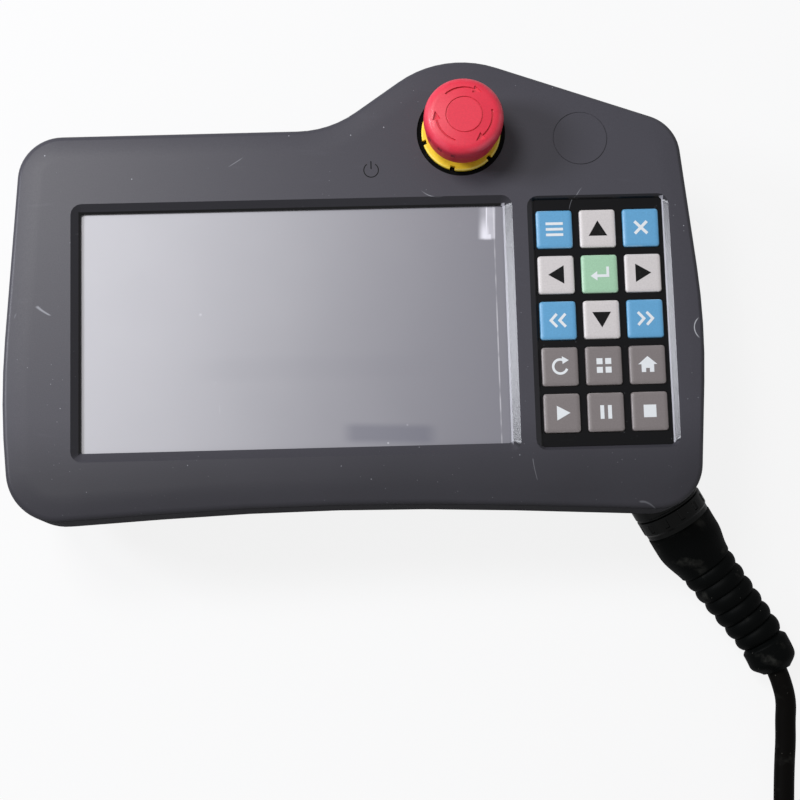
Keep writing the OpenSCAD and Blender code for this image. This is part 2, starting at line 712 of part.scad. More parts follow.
// Yellow ring with grip notches, in one piece with the threaded barrel
module estop_collar() {
  notch_w = 1.8;
  notch_d = 1.3;
  color([0.96, 0.76, 0.1]) translate([estop_at[0], estop_at[1], 0]) difference() {
    union() {
      translate([0, 0, z_collar]) rotate_extrude($fn = 96) polygon([[0, 0], [collar_d / 2, 0],
        [collar_d / 2, z_collar_top - z_collar - 0.5], [collar_d / 2 - 0.5, z_collar_top - z_collar],
        [0, z_collar_top - z_collar]]);
      translate([0, 0, z_barrel]) cylinder(h = z_collar - z_barrel + 0.1, d = barrel_d, $fn = 64);
    }
    translate([0, 0, z_barrel - 1])
      cylinder(h = z_face - z_barrel + head_rise, d = plunger_d + 2 * running_gap, $fn = 48);
    for (i = [0 : 5]) rotate([0, 0, 15 + i * 60])
      translate([collar_d / 2 - notch_d, -notch_w / 2, z_collar - 1])
        cube([notch_d + 1, notch_w, z_collar_top - z_collar + 2]);
  }
}

module estop_seal() {
  color("black") translate([estop_at[0], estop_at[1], z_recess]) difference() {
    cylinder(h = seal_t, d = recess_d - 2 * slide_gap, $fn = 64);
    translate([0, 0, -1]) cylinder(h = 3, d = barrel_d + slide_gap, $fn = 64);
  }
}

module estop_nut() {
  color("silver") translate([estop_at[0], estop_at[1], z_pad - nut_t]) difference() {
    cylinder(h = nut_t, d = 1.5 * barrel_d, $fn = 6);
    translate([0, 0, -1]) cylinder(h = nut_t + 2, d = barrel_d + 0.1, $fn = 64);
  }
}

module estop_contact_block() {
  tall = z_barrel - z_block;
  color("darkgray") translate([estop_at[0], estop_at[1], z_block]) difference() {
    union() {
      slab(block_w, block_w, 2, 0, 0, 0, tall);
      for (s = [-1, 1]) translate([s * 6, 0, -1.5]) cylinder(h = 2, d = 4, $fn = 24);
    }
    translate([0, 0, tall - 2 - stop_travel - 1]) cylinder(h = 20, d = plunger_d + 1, $fn = 48);
  }
}

// ==== enabling switch, in the ridge of the hand grip ====

// Places its children on the ridge's flank at x, with their +Z out of the flank
module at_enable(x) {
  translate([x, enable_y, enable_z]) rotate([90, 0, 90]) children();
}

module enable_bezel() {
  color("black") at_enable(x_bezel - bezel_t) linear_extrude(bezel_t) difference() {
    polygon(rounded_rect(bezel_l, bezel_h, 2));
    polygon(rounded_rect(enable_l + 2 * slide_gap, enable_h + 2 * slide_gap, 3 + slide_gap));
  }
}

module enable_button() {
  levels = [[-bezel_t - 1, 0], [enable_out - 1.6, 0], [enable_out - 0.7, 0.3], [enable_out - 0.2, 1],
    [enable_out, 2.2]];
  color([0.2, 0.2, 0.21]) at_enable(x_bezel) {
    skin([for (s = levels)
      at_height(rounded_rect(enable_l - 2 * s[1], enable_h - 2 * s[1], max(0.6, 3 - s[1])), s[0])]);
    slab(enable_l + 2, enable_h + 1.2, 3, 0, 0, -bezel_t - seat_gap - 1, 1);
  }
}

module enable_switch() {
  color("dimgray") at_enable(x_switch - switch_t) slab(bezel_l - 6, bezel_h - 2.4, 1, 0, 0, 0, switch_t);
}

// ==== hand strap ====

// Padded band that sags under the palm hollow, with an eye round each pin
module hand_strap() {
  web = 1.4;
  band_r = (pin_y * pin_y + strap_sag * strap_sag) / (2 * strap_sag);
  centre_z = pin_z - strap_sag + band_r;
  color("black") translate([strap_x - strap_w / 2, strap_y, 0]) rotate([90, 0, 90]) linear_extrude(strap_w)
    difference() {
      union() {
        intersection() {
          translate([0, centre_z]) difference() {
            circle(r = band_r + web, $fn = 360);
            circle(r = band_r - web, $fn = 360);
          }
          translate([-pin_y, -1]) square([2 * pin_y, 14]);
        }
        intersection() {
          translate([0, centre_z]) difference() {
            circle(r = band_r + pad_t / 2, $fn = 360);
            circle(r = band_r - pad_t / 2, $fn = 360);
          }
          translate([-palm_half + 10, -1]) square([2 * palm_half - 20, 14]);
        }
        for (s = [-1, 1]) translate([s * pin_y, pin_z]) circle(d = pin_d + 2 * pin_gap + 2.4, $fn = 48);
      }
      for (s = [-1, 1]) translate([s * pin_y, pin_z]) circle(d = pin_d + 2 * pin_gap, $fn = 48);
    }
}

module strap_pins() {
  color("silver") for (side = [-1, 1]) translate([strap_x - strap_w / 2 - 1.9, strap_y + side * pin_y, pin_z])
    rotate([0, 90, 0]) cylinder(h = strap_w + 3.8, d = pin_d - 0.1, $fn = 32);
}

// ==== rear fittings ====

module bay_cover() {
  color("dimgray") difference() {
    slab(cover_w, cover_l, 3, cover_at[0], cover_at[1], z_grip - cover_proud, cover_t);
    for (p = cover_screws_at) {
      disc(p, z_grip - cover_t, 3 * cover_t, cover_screw_d + 0.3, 24);
      disc(p, z_grip - cover_t, cover_t - cover_proud + cover_head_h, cover_head_d + 0.6, 32);
    }
  }
}

module cover_screws() {
  color("silver") for (p = cover_screws_at)
    screw(p[0], p[1], z_grip - cover_proud, cover_screw_l, cover_head_d, cover_head_h, cover_screw_d);
}

module rubber_feet() {
  r = foot_d / 2;
  color("black") for (p = feet) translate([p[0], p[1], 0]) rotate_extrude($fn = 48)
    polygon([[0, 0.4], [r - 4, 0.4], [r - 3.4, 0], [r - 1, 0], [r - 0.3, 0.8], [r, z_grip + foot_seat],
      [0, z_grip + foot_seat]]);
}

module case_screws() {
  color("silver") for (p = case_screws_at)
    screw(p[0], p[1], head_seat - screw_head_h, screw_l, screw_head_d, screw_head_h, screw_d);
}

// ==== cable entry ====

// Collar with grip grooves outside the housing and a threaded stem inside
module cable_gland() {
  r = gland_d / 2;
  color("black") at_gland() difference() {
    rotate_extrude($fn = 96) polygon([
      [gland_bore / 2, -thread_l], [thread_d / 2 - 0.6, -thread_l], [thread_d / 2, -thread_l + 0.6],
      [thread_d / 2, 0], [r - 0.4, 0], [r, 0.4], [r, 4], [r - 0.7, 4.4], [r - 0.7, 5], [r, 5.4],
      [r, gland_l - 2.4], [r - 0.5, gland_l - 1.6], [r - 0.5, gland_l],
      [gland_bore / 2, gland_l]]);
    for (i = [0 : 11]) rotate([0, 0, i * 30]) disc([r + 0.9, 0], 6.4, gland_l - 9.6, 2.8, 24);
  }
}

module gland_nut() {
  gland_nut_t = 4;
  color("silver") at_gland(-nut_back - gland_nut_t) difference() {
    cylinder(h = gland_nut_t, d = nut_d, $fn = 6);
    translate([0, 0, -1]) cylinder(h = gland_nut_t + 2, d = thread_d + 0.1, $fn = 64);
  }
}

// Round tube along a route of points; r is one radius, or one for each point
module tube(route, r, sides = 12) {
  last = len(route) - 1;
  skin([for (i = [last : -1 : 0]) let (t = unit(route[min(i + 1, last)] - route[max(i - 1, 0)]),
      across = unit(cross(t, [0, 0, 1])), up = cross(across, t), ring_r = is_list(r) ? r[i] : r)
    [for (k = [0 : sides - 1]) let (a = k * 360 / sides)
      route[i] + ring_r * (cos(a) * across + sin(a) * up)]]);
}

// Boot with a smooth skirt, six ribs and an end collar; it tapers from the gland to the cable
module cable_boot() {
  base_r = gland_d / 2 - 0.3;
  spigot_r = gland_bore / 2 - 0.2;
  skirt_l = 20;
  collar_l = 13;
  collar_r = cable_r + 5.2;
  ribs = 6;
  pitch = (boot_l - skirt_l - collar_l) / ribs;
  rib_depth = 1.5;
  stations = concat(
    [[-6, spigot_r], [0, spigot_r], [0, base_r], [4, base_r], [9, base_r - 0.2], [13.5, base_r - 0.7],
      [16.5, base_r - 1.5], [18.5, base_r - 2.5]],
    [for (i = [0 : ribs - 1]) let (t = skirt_l + i * pitch, r = base_r - 2.3 - i * 0.26)
      each [[t, r - rib_depth], [t + 1, r - rib_depth], [t + 1.8, r - 0.4], [t + 2.8, r],
        [t + pitch - 1.5, r - 0.1], [t + pitch - 0.5, r - 0.7]]],
    [for (s = [[13, 2], [12, 2], [11, 0.6], [9.5, 0], [4.5, 0], [2.2, 0.7], [0.8, 2], [0, 4.2]])
      [boot_l - s[0], collar_r - s[1]]]);
  color("black") tube(boot_line([for (s = stations) s[0]]), [for (s = stations) s[1]], 24);
}

module cable() { color("black") tube(RUN, cable_r); }
module cable_tail() { color("black") tube(TAIL, cable_r); }

module cable_coil() {
  w = coil_columns * cable_d;
  color("black") translate([coil_at[0], coil_at[1], 0]) rotate_extrude($fn = 96)
    polygon(rounded_rect(w, coil_layers * cable_d, 3.5, coil_mean_d / 2, coil_layers * cable_d / 2, 3));
}

module coil_tie() {
  w = coil_columns * cable_d + 1.4;
  h = coil_layers * cable_d + 0.5;
  color("dimgray") translate([coil_at[0], coil_at[1], 0]) rotate([0, 0, tie_turn])
    translate([coil_mean_d / 2, tie_w / 2, 0]) rotate([90, 0, 0]) linear_extrude(tie_w) difference() {
      polygon(rounded_rect(w + 2 * tie_t, h + tie_t, 4, 0, (h + tie_t) / 2));
      polygon(rounded_rect(w, h - tie_t, 3, 0, (h + tie_t) / 2));
    }
}

// ==== connector ====

module at_hood(along = 0) {
  translate([hood_at[0] - along, hood_at[1], hood_at[2]]) rotate([0, -90, 0]) children();
}

module connector_hood() {
  end = hood_collar_l + hood_l;
  color("gray") at_hood() difference() {
    union() {
      cylinder(h = hood_collar_l + 2, d = hood_collar_d, $fn = 6);
      cylinder(h = 3, d1 = hood_collar_d - 3, d2 = hood_collar_d, $fn = 48);
      skin([at_height(rounded_rect(hood_h - 6, hood_w - 10, 3), hood_collar_l),
        at_height(rounded_rect(hood_h - 3, hood_w - 5, 4), hood_collar_l + 4),
        at_height(rounded_rect(hood_h - 2.4, hood_w - 4, 4), end - 15),
        at_height(rounded_rect(hood_h, hood_w, 4), end - 13),
        at_height(rounded_rect(hood_h, hood_w, 4), end)]);
      for (s = [-1, 1]) translate([0, s * (hood_w / 2 - 0.5), end - 7]) rotate([-s * 90, 0, 0])
        cylinder(h = 2.6, d = 5, $fn = 32);
    }
    slab(hood_h - 5, hood_w - 5, 2, 0, 0, end - 14, 15);
  }
}

module connector_insert() {
  end = hood_collar_l + hood_l;
  color("silver") at_hood() difference() {
    slab(hood_h - 5.2, hood_w - 5.2, 2, 0, 0, end - 14, 14 + insert_l);
    for (row = [-1, 1], i = [-2 : 2]) disc([row * 4.6, i * 5], end + insert_l - 5, 6, 2.4, 24);
    disc([0, hood_w / 2 - 5.2], end + insert_l - 3, 4, 3, 24);
  }
}

front_housing();
rear_housing();
housing_gasket();
touch_panel();
screen_gasket();
lcd_module();
lcd_bracket();
main_board();
board_spacers();
board_screws();
keypad_plate();
key_menu();
key_up();
key_escape();
key_left();
key_enter();
key_right();
key_previous();
key_down();
key_next();
key_auto();
key_mode();
key_home();
key_run();
key_pause();
key_stop();
key_dome_mat();
keypad_board();
estop_head();
estop_plunger();
estop_collar();
estop_seal();
estop_nut();
estop_contact_block();
enable_button();
enable_bezel();
enable_switch();
hand_strap();
strap_pins();
bay_cover();
cover_screws();
rubber_feet();
case_screws();
cable_gland();
gland_nut();
cable_boot();
cable();
cable_tail();
cable_coil();
coil_tie();
connector_hood();
connector_insert();
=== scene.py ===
"""Looks of a hand-held teach pendant: its finishes, printed symbols, strap and cable, on its CAD frame.

Lengths are in metres, in the frame of the CAD model: +X to the right of the screen, +Y to its top and
+Z out of the front face. The pendant lies on its back on the floor.
"""
import sys
import logging
import math
from dataclasses import dataclass, field
from enum import Enum
from functools import cached_property
from typing import Any, Iterable, Sequence

import bmesh
import bpy
from mathutils import Matrix, Vector


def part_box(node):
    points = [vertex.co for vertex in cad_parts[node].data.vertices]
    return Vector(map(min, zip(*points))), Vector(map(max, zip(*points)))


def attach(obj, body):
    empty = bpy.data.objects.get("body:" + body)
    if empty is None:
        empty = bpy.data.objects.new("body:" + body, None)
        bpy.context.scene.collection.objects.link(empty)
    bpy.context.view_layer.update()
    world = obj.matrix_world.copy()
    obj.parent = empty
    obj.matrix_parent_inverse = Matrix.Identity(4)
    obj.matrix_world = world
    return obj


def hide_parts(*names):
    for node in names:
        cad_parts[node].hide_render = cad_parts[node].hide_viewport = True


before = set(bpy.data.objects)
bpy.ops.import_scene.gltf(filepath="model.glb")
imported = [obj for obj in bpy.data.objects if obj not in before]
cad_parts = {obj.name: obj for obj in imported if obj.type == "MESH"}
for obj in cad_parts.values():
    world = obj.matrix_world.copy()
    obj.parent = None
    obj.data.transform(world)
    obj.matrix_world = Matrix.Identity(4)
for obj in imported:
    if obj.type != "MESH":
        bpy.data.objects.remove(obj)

LOG = logging.getLogger("pendant")
MM = 0.001
ROOT = "pendant"
NODES: dict[str, bpy.types.Object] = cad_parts
Pair = tuple[float, float]
Point = tuple[float, float, float]
Colour = tuple[float, float, float]


def srgb(red: int, green: int, blue: int) -> Colour:
    """Turns a colour as a screen shows it into the linear one that shaders take.

    Args:
        red: the red channel, 0 to 255.
        green: the green channel.
        blue: the blue channel.

    Returns:
        The linear colour, 0 to 1 a channel.
    """
    def linear(channel: int) -> float:
        """Undoes the display's curve for one channel."""
        c = channel / 255
        return c / 12.92 if c <= 0.04045 else ((c + 0.055) / 1.055) ** 2.4
    return linear(red), linear(green), linear(blue)


def darker(colour: Colour, share: float) -> Colour:
    """A colour with a share of its light left."""
    return tuple(c * share for c in colour)


# ==== node trees ====

class NodeTree:
    """A node tree, with one method that makes any of its nodes.

    Args:
        tree: the tree that the nodes go into.
    """

    def __init__(self, tree: bpy.types.NodeTree) -> None:
        """Keeps the tree."""
        self.tree = tree

    def node(self, kind: str, settings: dict[str, Any] | None = None,
             sockets: dict[Any, Any] | None = None) -> bpy.types.Node:
        """Adds a node.

        Args:
            kind: the node's type.
            settings: its settings, set first.
            sockets: a value or a link for its input sockets, by name or number.

        Returns:
            The new node.
        """
        made = self.tree.nodes.new(kind)
        for key, value in (settings or {}).items():
            setattr(made, key, value)
        for key, value in (sockets or {}).items():
            socket = made.inputs[key]
            if isinstance(value, Wave):
                value = value.socket
            if isinstance(value, bpy.types.NodeSocket):
                self.tree.links.new(value, socket)
            elif socket.type == "RGBA":
                socket.default_value = (*value, 1)
            else:
                socket.default_value = value
        return made


class Wave:
    """A number that varies over a surface or along a line; arithmetic on it adds Math nodes.

    Args:
        graph: the tree that it belongs to.
        socket: the output that carries it.
    """

    def __init__(self, graph: NodeTree, socket: bpy.types.NodeSocket) -> None:
        """Wraps the socket."""
        self.graph, self.socket = graph, socket

    def math(self, operation: str, *values: "Wave | float") -> "Wave":
        """One Math node on the given values, in their order."""
        made = self.graph.node("ShaderNodeMath", {"operation": operation}, dict(enumerate(values)))
        return Wave(self.graph, made.outputs[0])

    def __add__(self, other: "Wave | float") -> "Wave":
        """The sum."""
        return self.math("ADD", self, other)

    def __sub__(self, other: "Wave | float") -> "Wave":
        """The difference."""
        return self.math("SUBTRACT", self, other)

    def __rsub__(self, other: float) -> "Wave":
        """The difference from a number."""
        return self.math("SUBTRACT", other, self)

    def __mul__(self, other: "Wave | float") -> "Wave":
        """The product."""
        return self.math("MULTIPLY", self, other)

    def __truediv__(self, other: "Wave | float") -> "Wave":
        """The quotient."""
        return self.math("DIVIDE", self, other)

    def __rtruediv__(self, other: float) -> "Wave":
        """A number's quotient by it."""
        return self.math("DIVIDE", other, self)

    def __abs__(self) -> "Wave":
        """The size without its sign."""
        return self.math("ABSOLUTE", self)

    __radd__, __rmul__ = __add__, __mul__

    def sine(self) -> "Wave":
        """The sine, from -1 to 1."""
        return self.math("SINE", self)

    def power(self, exponent: float) -> "Wave":
        """The number to a power."""
        return self.math("POWER", self, exponent)

    def over(self, other: "Wave | float") -> "Wave":
        """The larger of the two."""
        return self.math("MAXIMUM", self, other)

    def under(self, other: "Wave | float") -> "Wave":
        """The smaller of the two."""
        return self.math("MINIMUM", self, other)

    def step(self, low: float, high: float) -> "Wave":
        """Rises smoothly between two numbers.

        Args:
            low: where it is 0, and stays so beyond.
            high: where it is 1, which may be the smaller number.

        Returns:
            The number from 0 to 1.
        """
        flip = high < low
        made = self.graph.node("ShaderNodeMapRange", {"interpolation_type": "SMOOTHSTEP"}, {
            "Value": self, "From Min": min(low, high), "From Max": max(low, high),
            "To Min": float(flip), "To Max": float(not flip)})
        return Wave(self.graph, made.outputs[0])

    def spot(self, centre: float, half: float, soft: float) -> "Wave":
        """1 within half of a centre, and 0 past a soft edge."""
        return abs(self - centre).step(half + soft, half)


class Graph(NodeTree):
    """The shader tree of a new material or world.

    Args:
        name: the material's or the world's name.
        kind: the list of bpy.data that it is made in.
    """

    def __init__(self, name: str, kind: str = "materials") -> None:
        """Makes the material or the world and empties its tree."""
        self.owner = getattr(bpy.data, kind).new(name)
        self.owner.use_nodes = True
        super().__init__(self.owner.node_tree)
        self.tree.nodes.clear()

    def place(self) -> bpy.types.NodeSocket:
        """The surface point, in the object's own coordinates."""
        return self.node("ShaderNodeTexCoord").outputs["Object"]

    def split(self, vector: bpy.types.NodeSocket) -> tuple[Wave, Wave, Wave]:
        """A vector's X, Y and Z."""
        parts = self.node("ShaderNodeSeparateXYZ", sockets={0: vector})
        return tuple(Wave(self, out) for out in parts.outputs)

    def axes(self) -> tuple[Wave, Wave, Wave]:
        """The surface point's X, Y and Z."""
        return self.split(self.place())

    def facing(self) -> tuple[Wave, Wave, Wave]:
        """How far the surface faces along +X, +Y and +Z, each from -1 to 1."""
        return self.split(self.node("ShaderNodeNewGeometry").outputs["Normal"])

    def noise(self, scale: float, detail: float = 2.0, stretch: Point = (1, 1, 1)) -> Wave:
        """Cloudy noise.

        Args:
            scale: how many clouds there are in a metre.
            detail: how many finer layers it has.
            stretch: how much faster it changes along each axis.

        Returns:
            The noise, from 0 to 1.
        """
        place = self.node("ShaderNodeMapping", sockets={
            "Vector": self.place(), "Scale": Vector(stretch)})
        made = self.node("ShaderNodeTexNoise", sockets={
            "Vector": place.outputs[0], "Scale": scale, "Detail": detail, "Roughness": 0.55})
        return Wave(self, made.outputs[0])

    def specks(self, scale: float, size: float) -> Wave:
        """Small round specks.

        Args:
            scale: how many cells there are in a metre.
            size: a speck's radius as a share of its cell.

        Returns:
            1 inside a speck and 0 outside.
        """
        cells = self.node("ShaderNodeTexVoronoi", sockets={"Vector": self.place(), "Scale": scale})
        return Wave(self, cells.outputs["Distance"]).step(size, size * 0.6)

    def mix(self, share: Wave, first: Any, second: Any) -> bpy.types.NodeSocket:
        """Mixes two colours, each a value or a link.

        Args:
            share: how much of the second colour shows.
            first: the colour at 0.
            second: the colour at 1.

        Returns:
            The mixed colour.
        """
        return self.node("ShaderNodeMix", {"data_type": "RGBA"}, {
            "Factor": share, 6: first, 7: second}).outputs[2]

    def bump(self, height: Wave, depth: float, after: bpy.types.NodeSocket | None = None
             ) -> bpy.types.NodeSocket:
        """Turns a height of 0 to 1 into a surface normal.

        Args:
            height: the height over the surface.
            depth: what a height of 1 is, in metres.
            after: the normal to start from.

        Returns:
            The normal.
        """
        sockets: dict[str, Any] = {"Height": height, "Distance": depth, "Strength": 1.0}
        if after is not None:
            sockets["Normal"] = after
        return self.node("ShaderNodeBump", sockets=sockets).outputs[0]

    def surface(self, **sockets: Any) -> bpy.types.Material:
        """Ends the tree in a Principled shader.

        Args:
            sockets: its inputs, with underscores for the blanks in their names.

        Returns:
            The finished material.
        """
        named = {key.replace("_", " "): value for key, value in sockets.items()}
        shader = self.node("ShaderNodeBsdfPrincipled", sockets=named)
        self.node("ShaderNodeOutputMaterial", sockets={"Surface": shader.outputs[0]})
        return self.owner


# ==== finishes ====

LEVEL = 0.985  # how far up a surface faces from which it counts as level


@dataclass(frozen=True)
class PaintedShadeSlope:
    """The zone of a shell that slopes down to an opening, smooth and with painted shade: a dark colour
    on the slopes above and beside it, not on the lower slope, which faces the lamps.

    Args:
        low: the lower left corner of what fills the opening.
        high: its upper right corner.
        reach: how far the slope runs out from it.
        colour: the colour of the painted shade on the slope.
        strength: how much of it shows.
        roughening: what it adds to the shell's roughness.
    """

    low: Point
    high: Point
    reach: float = 3.9 * MM
    colour: Colour = srgb(24, 24, 28)
    strength: float = 0.55
    roughening: float = -0.2

    def share(self, g: Graph) -> Wave:
        """Finds the slopes above and beside the opening.

        Args:
            g: the material's graph.

        Returns:
            1 on them and 0 elsewhere.
        """
        x, y, _ = g.axes()
        _, back, up = g.facing()
        half = [(b - a) / 2 + self.reach for a, b in zip(self.low, self.high)]
        middle = [(a + b) / 2 for a, b in zip(self.low, self.high)]
        inside = x.spot(middle[0], half[0], 0.1 * MM) * y.spot(middle[1], half[1], 0.1 * MM)
        return inside * up.step(LEVEL, 0.96) * back.step(0.4, 0.2)


@dataclass(frozen=True)
class PaintedHighlightEdge(PaintedShadeSlope):
    """The foot of the right-hand slope, which faces the lamps, with a painted pale highlight."""

    def share(self, g: Graph) -> Wave:
        """1 along the foot of that slope and 0 elsewhere."""
        return super().share(g) * g.facing()[0].step(-0.1, -0.3)


@dataclass(frozen=True)
class Scuff:
    """A thin pale crescent rubbed into an edge.

    Args:
        at: the middle of the circle that it is a part of.
        radius: the circle's radius.
        half: half its width.
        colour: its colour.
        strength: how much of it shows.
        roughening: what it adds to the shell's roughness.
    """

    at: Pair = (129.4 * MM, -18.9 * MM)
    radius: float = 4.7 * MM
    half: float = 0.14 * MM
    colour: Colour = srgb(206, 208, 214)
    strength: float = 0.6
    roughening: float = 0.1

    def share(self, g: Graph) -> Wave:
        """Finds the crescent, on the left of the circle and where the shell faces up.

        Args:
            g: the material's graph.

        Returns:
            1 in it and 0 elsewhere.
        """
        x, y, _ = g.axes()
        run, rise = x - self.at[0], y - self.at[1]
        ring = (run * run + rise * rise).spot(self.radius ** 2, self.half * self.radius * 2, 1e-6)
        left = run.step(-0.55 * self.radius, -0.85 * self.radius)
        return ring * left * g.facing()[2].step(0.3, 0.6)


def housing_zones() -> tuple[PaintedShadeSlope | Scuff, ...]:
    """Lays out what shows on the housing round its openings.

    Returns:
        Its slopes with painted shade, the painted shadow lines in the gaps and the painted highlights
        on the feet that end them, and its scuff.
    """
    boxes = [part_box(node) for node in ("touch_panel", "keypad_plate")]
    feet = [(*box, reach) for box, reach in zip(boxes, (-3.85 * MM, 0.55 * MM))]
    # Painted shadow: a near-black line at the foot of the slopes above and beside each opening.
    gap_shadows = [PaintedShadeSlope(*foot, srgb(4, 4, 5), 0.9, 0.0) for foot in feet]
    # Painted highlight: a pale band at the foot of each right-hand slope, which faces the lamps.
    edges = [PaintedHighlightEdge(*foot, srgb(196, 196, 206), 0.5, 0.1) for foot in feet]
    return *(PaintedShadeSlope(*box) for box in boxes), *gap_shadows, *edges, Scuff()


@dataclass(frozen=True)
class MouldedPlastic:
    """Moulded plastic with a fine spark-eroded grain, faint marks, and edges polished by handling.

    Args:
        name: the material's name.
        colour: its main colour.
        worn: its colour where it is rubbed.
        roughness: its roughness between the marks.
        grain_scale: how many grains there are in a metre.
        grain_depth: how deep the grain is.
        marks: how strong its clouds and streaks are.
        wear: how far its edges are rubbed.
        coat: the weight of its clear gloss.
        dust: how strong its scratches and specks are.
        shine: its specular level.
        shade_line: the place along Y below which it is darkened with painted shade, or 0 for none.
        pits: the middles of its small dents, each darkened with painted shade.
        zones: its slopes and gaps with painted shade, the painted highlights at the slopes' feet, and
            its scuffs.
    """

    name: str
    colour: Colour
    worn: Colour
    roughness: float = 0.5
    grain_scale: float = 2600
    grain_depth: float = 0.03 * MM
    marks: float = 0.1
    wear: float = 0.3
    coat: float = 0.0
    dust: float = 0.0
    shine: float = 0.5
    shade_line: float = 0.0
    pits: tuple[Point, ...] = ()
    zones: tuple[PaintedShadeSlope | Scuff, ...] = ()

    def scratches(self, g: Graph) -> Wave:
        """Short, thin scratches and small specks.

        Args:
            g: the material's graph.

        Returns:
            How pale they make each point.
        """
        lines = abs(g.noise(22, 0) - 0.5).step(0.0028, 0.0005) * g.noise(70, 0).step(0.66, 0.7)
        specks = g.specks(170, 0.045) * g.noise(25).step(0.44, 0.54)
        fine = g.specks(400, 0.07) * g.noise(15, 1).step(0.5, 0.62) * 0.6
        return specks.over(lines * 0.5).over(fine) * self.dust

    def painted_shade(self, g: Graph, clouds: Wave) -> Wave:
        """Painted shade: darker towards the bottom, darker still on the lower walls, and along the rims
        that face right and down.

        Args:
            g: the material's graph.
            clouds: the noise that makes it uneven.

        Returns:
            How dark it makes each point.
        """
        right, back, up = g.facing()
        fade = 34 * MM
        # Painted shade: darker below the shade line, on its walls, and on rims that face away from the
        # lamps.
        low_shade = g.axes()[1].step(self.shade_line, self.shade_line - fade) * (0.8 + clouds * 0.4)
        wall = low_shade.under(1) * up.step(0.75, 0.35) * 0.9
        rim = up.step(0.05, 0.3) * up.step(0.98, 0.93) * (right - back).step(-0.3, 0.3) * 0.4
        return (low_shade * 0.62).over(rim).over(wall).under(1)

    def pit(self, g: Graph, at: Point) -> Wave:
        """A dent, a little taller than it is wide.

        Args:
            g: the material's graph.
            at: its middle.

        Returns:
            1 inside it and 0 outside.
        """
        halves, edges = (0.5 * MM, 0.5 * MM, 0.9 * MM), (0.4 * MM, 0.4 * MM, 0.8 * MM)
        x, y, z = (axis.spot(*spot) for axis, *spot in zip(g.axes(), at, halves, edges))
        return x * y * z

    def material(self) -> bpy.types.Material:
        """Builds the material.

        Returns:
            The new material.
        """
        g = Graph(self.name)
        grain, clouds = g.noise(self.grain_scale, 3), g.noise(22, 4)
        streaks = g.noise(60, 3, (1, 6, 1)).step(0.62, 0.78)
        _, _, up = g.facing()
        edge = up.step(0.2, 0.55) * up.step(LEVEL, 0.8) * g.noise(90, 3).step(0.35, 0.65)
        rubbed = (edge * self.wear + streaks * (self.marks * 0.4)).under(1)
        shade = darker(self.colour, 0.72)
        base = g.mix(clouds * self.marks * 2, self.colour, shade)
        base = g.mix(grain.step(0.3, 0.7) * 0.4, base, shade)
        base = g.mix(rubbed, base, self.worn)
        if self.dust:
            base = g.mix(self.scratches(g), base, srgb(196, 198, 206))
        rough = self.roughness + (grain - 0.5) * 0.14 - rubbed * 0.12
        if self.shade_line:
            rough = (rough + up.step(0.6, 0.2) * 0.6).under(1)
            # Painted shade over the lower part, its walls and its rims.
            base = g.mix(self.painted_shade(g, clouds), base, darker(self.colour, 0.25))
        # The zones paint shade on the opening slopes and gaps and a highlight on the right-hand slopes'
        # feet, besides the scuff.
        for zone in self.zones:
            share = zone.share(g)
            base = g.mix(share * zone.strength, base, zone.colour)
            rough = rough + share * zone.roughening
        normal = g.bump(grain, self.grain_depth)
        for at in self.pits:
            pit = self.pit(g, at)
            # The dent's dark colour is painted shade.
            base = g.mix(pit * 0.8, base, darker(self.colour, 0.4))
            normal = g.bump(pit, -0.4 * MM, normal)
        return g.surface(Base_Color=base, Roughness=rough, Coat_Weight=self.coat,
                         Coat_Roughness=0.12, Specular_IOR_Level=self.shine, Normal=normal)


@dataclass(frozen=True)
class Smudge:
    """A soft smear on the touch film.

    Args:
        at: its middle.
        half: half its size along X and Y.
        soft: the width of its soft edges along X and Y.
        strength: how much of it shows.
        colour: its colour.
        lean: how far it drops to the right, as a slope.
    """

    at: Pair
    half: Pair
    soft: Pair
    strength: float
    colour: Colour
    lean: float = 0.0

    def share(self, x: Wave, y: Wave) -> Wave:
        """How much of the smear shows at a point."""
        across, upward = zip(self.at, self.half, self.soft)
        return x.spot(*across) * (y + x * self.lean).spot(*upward) * self.strength


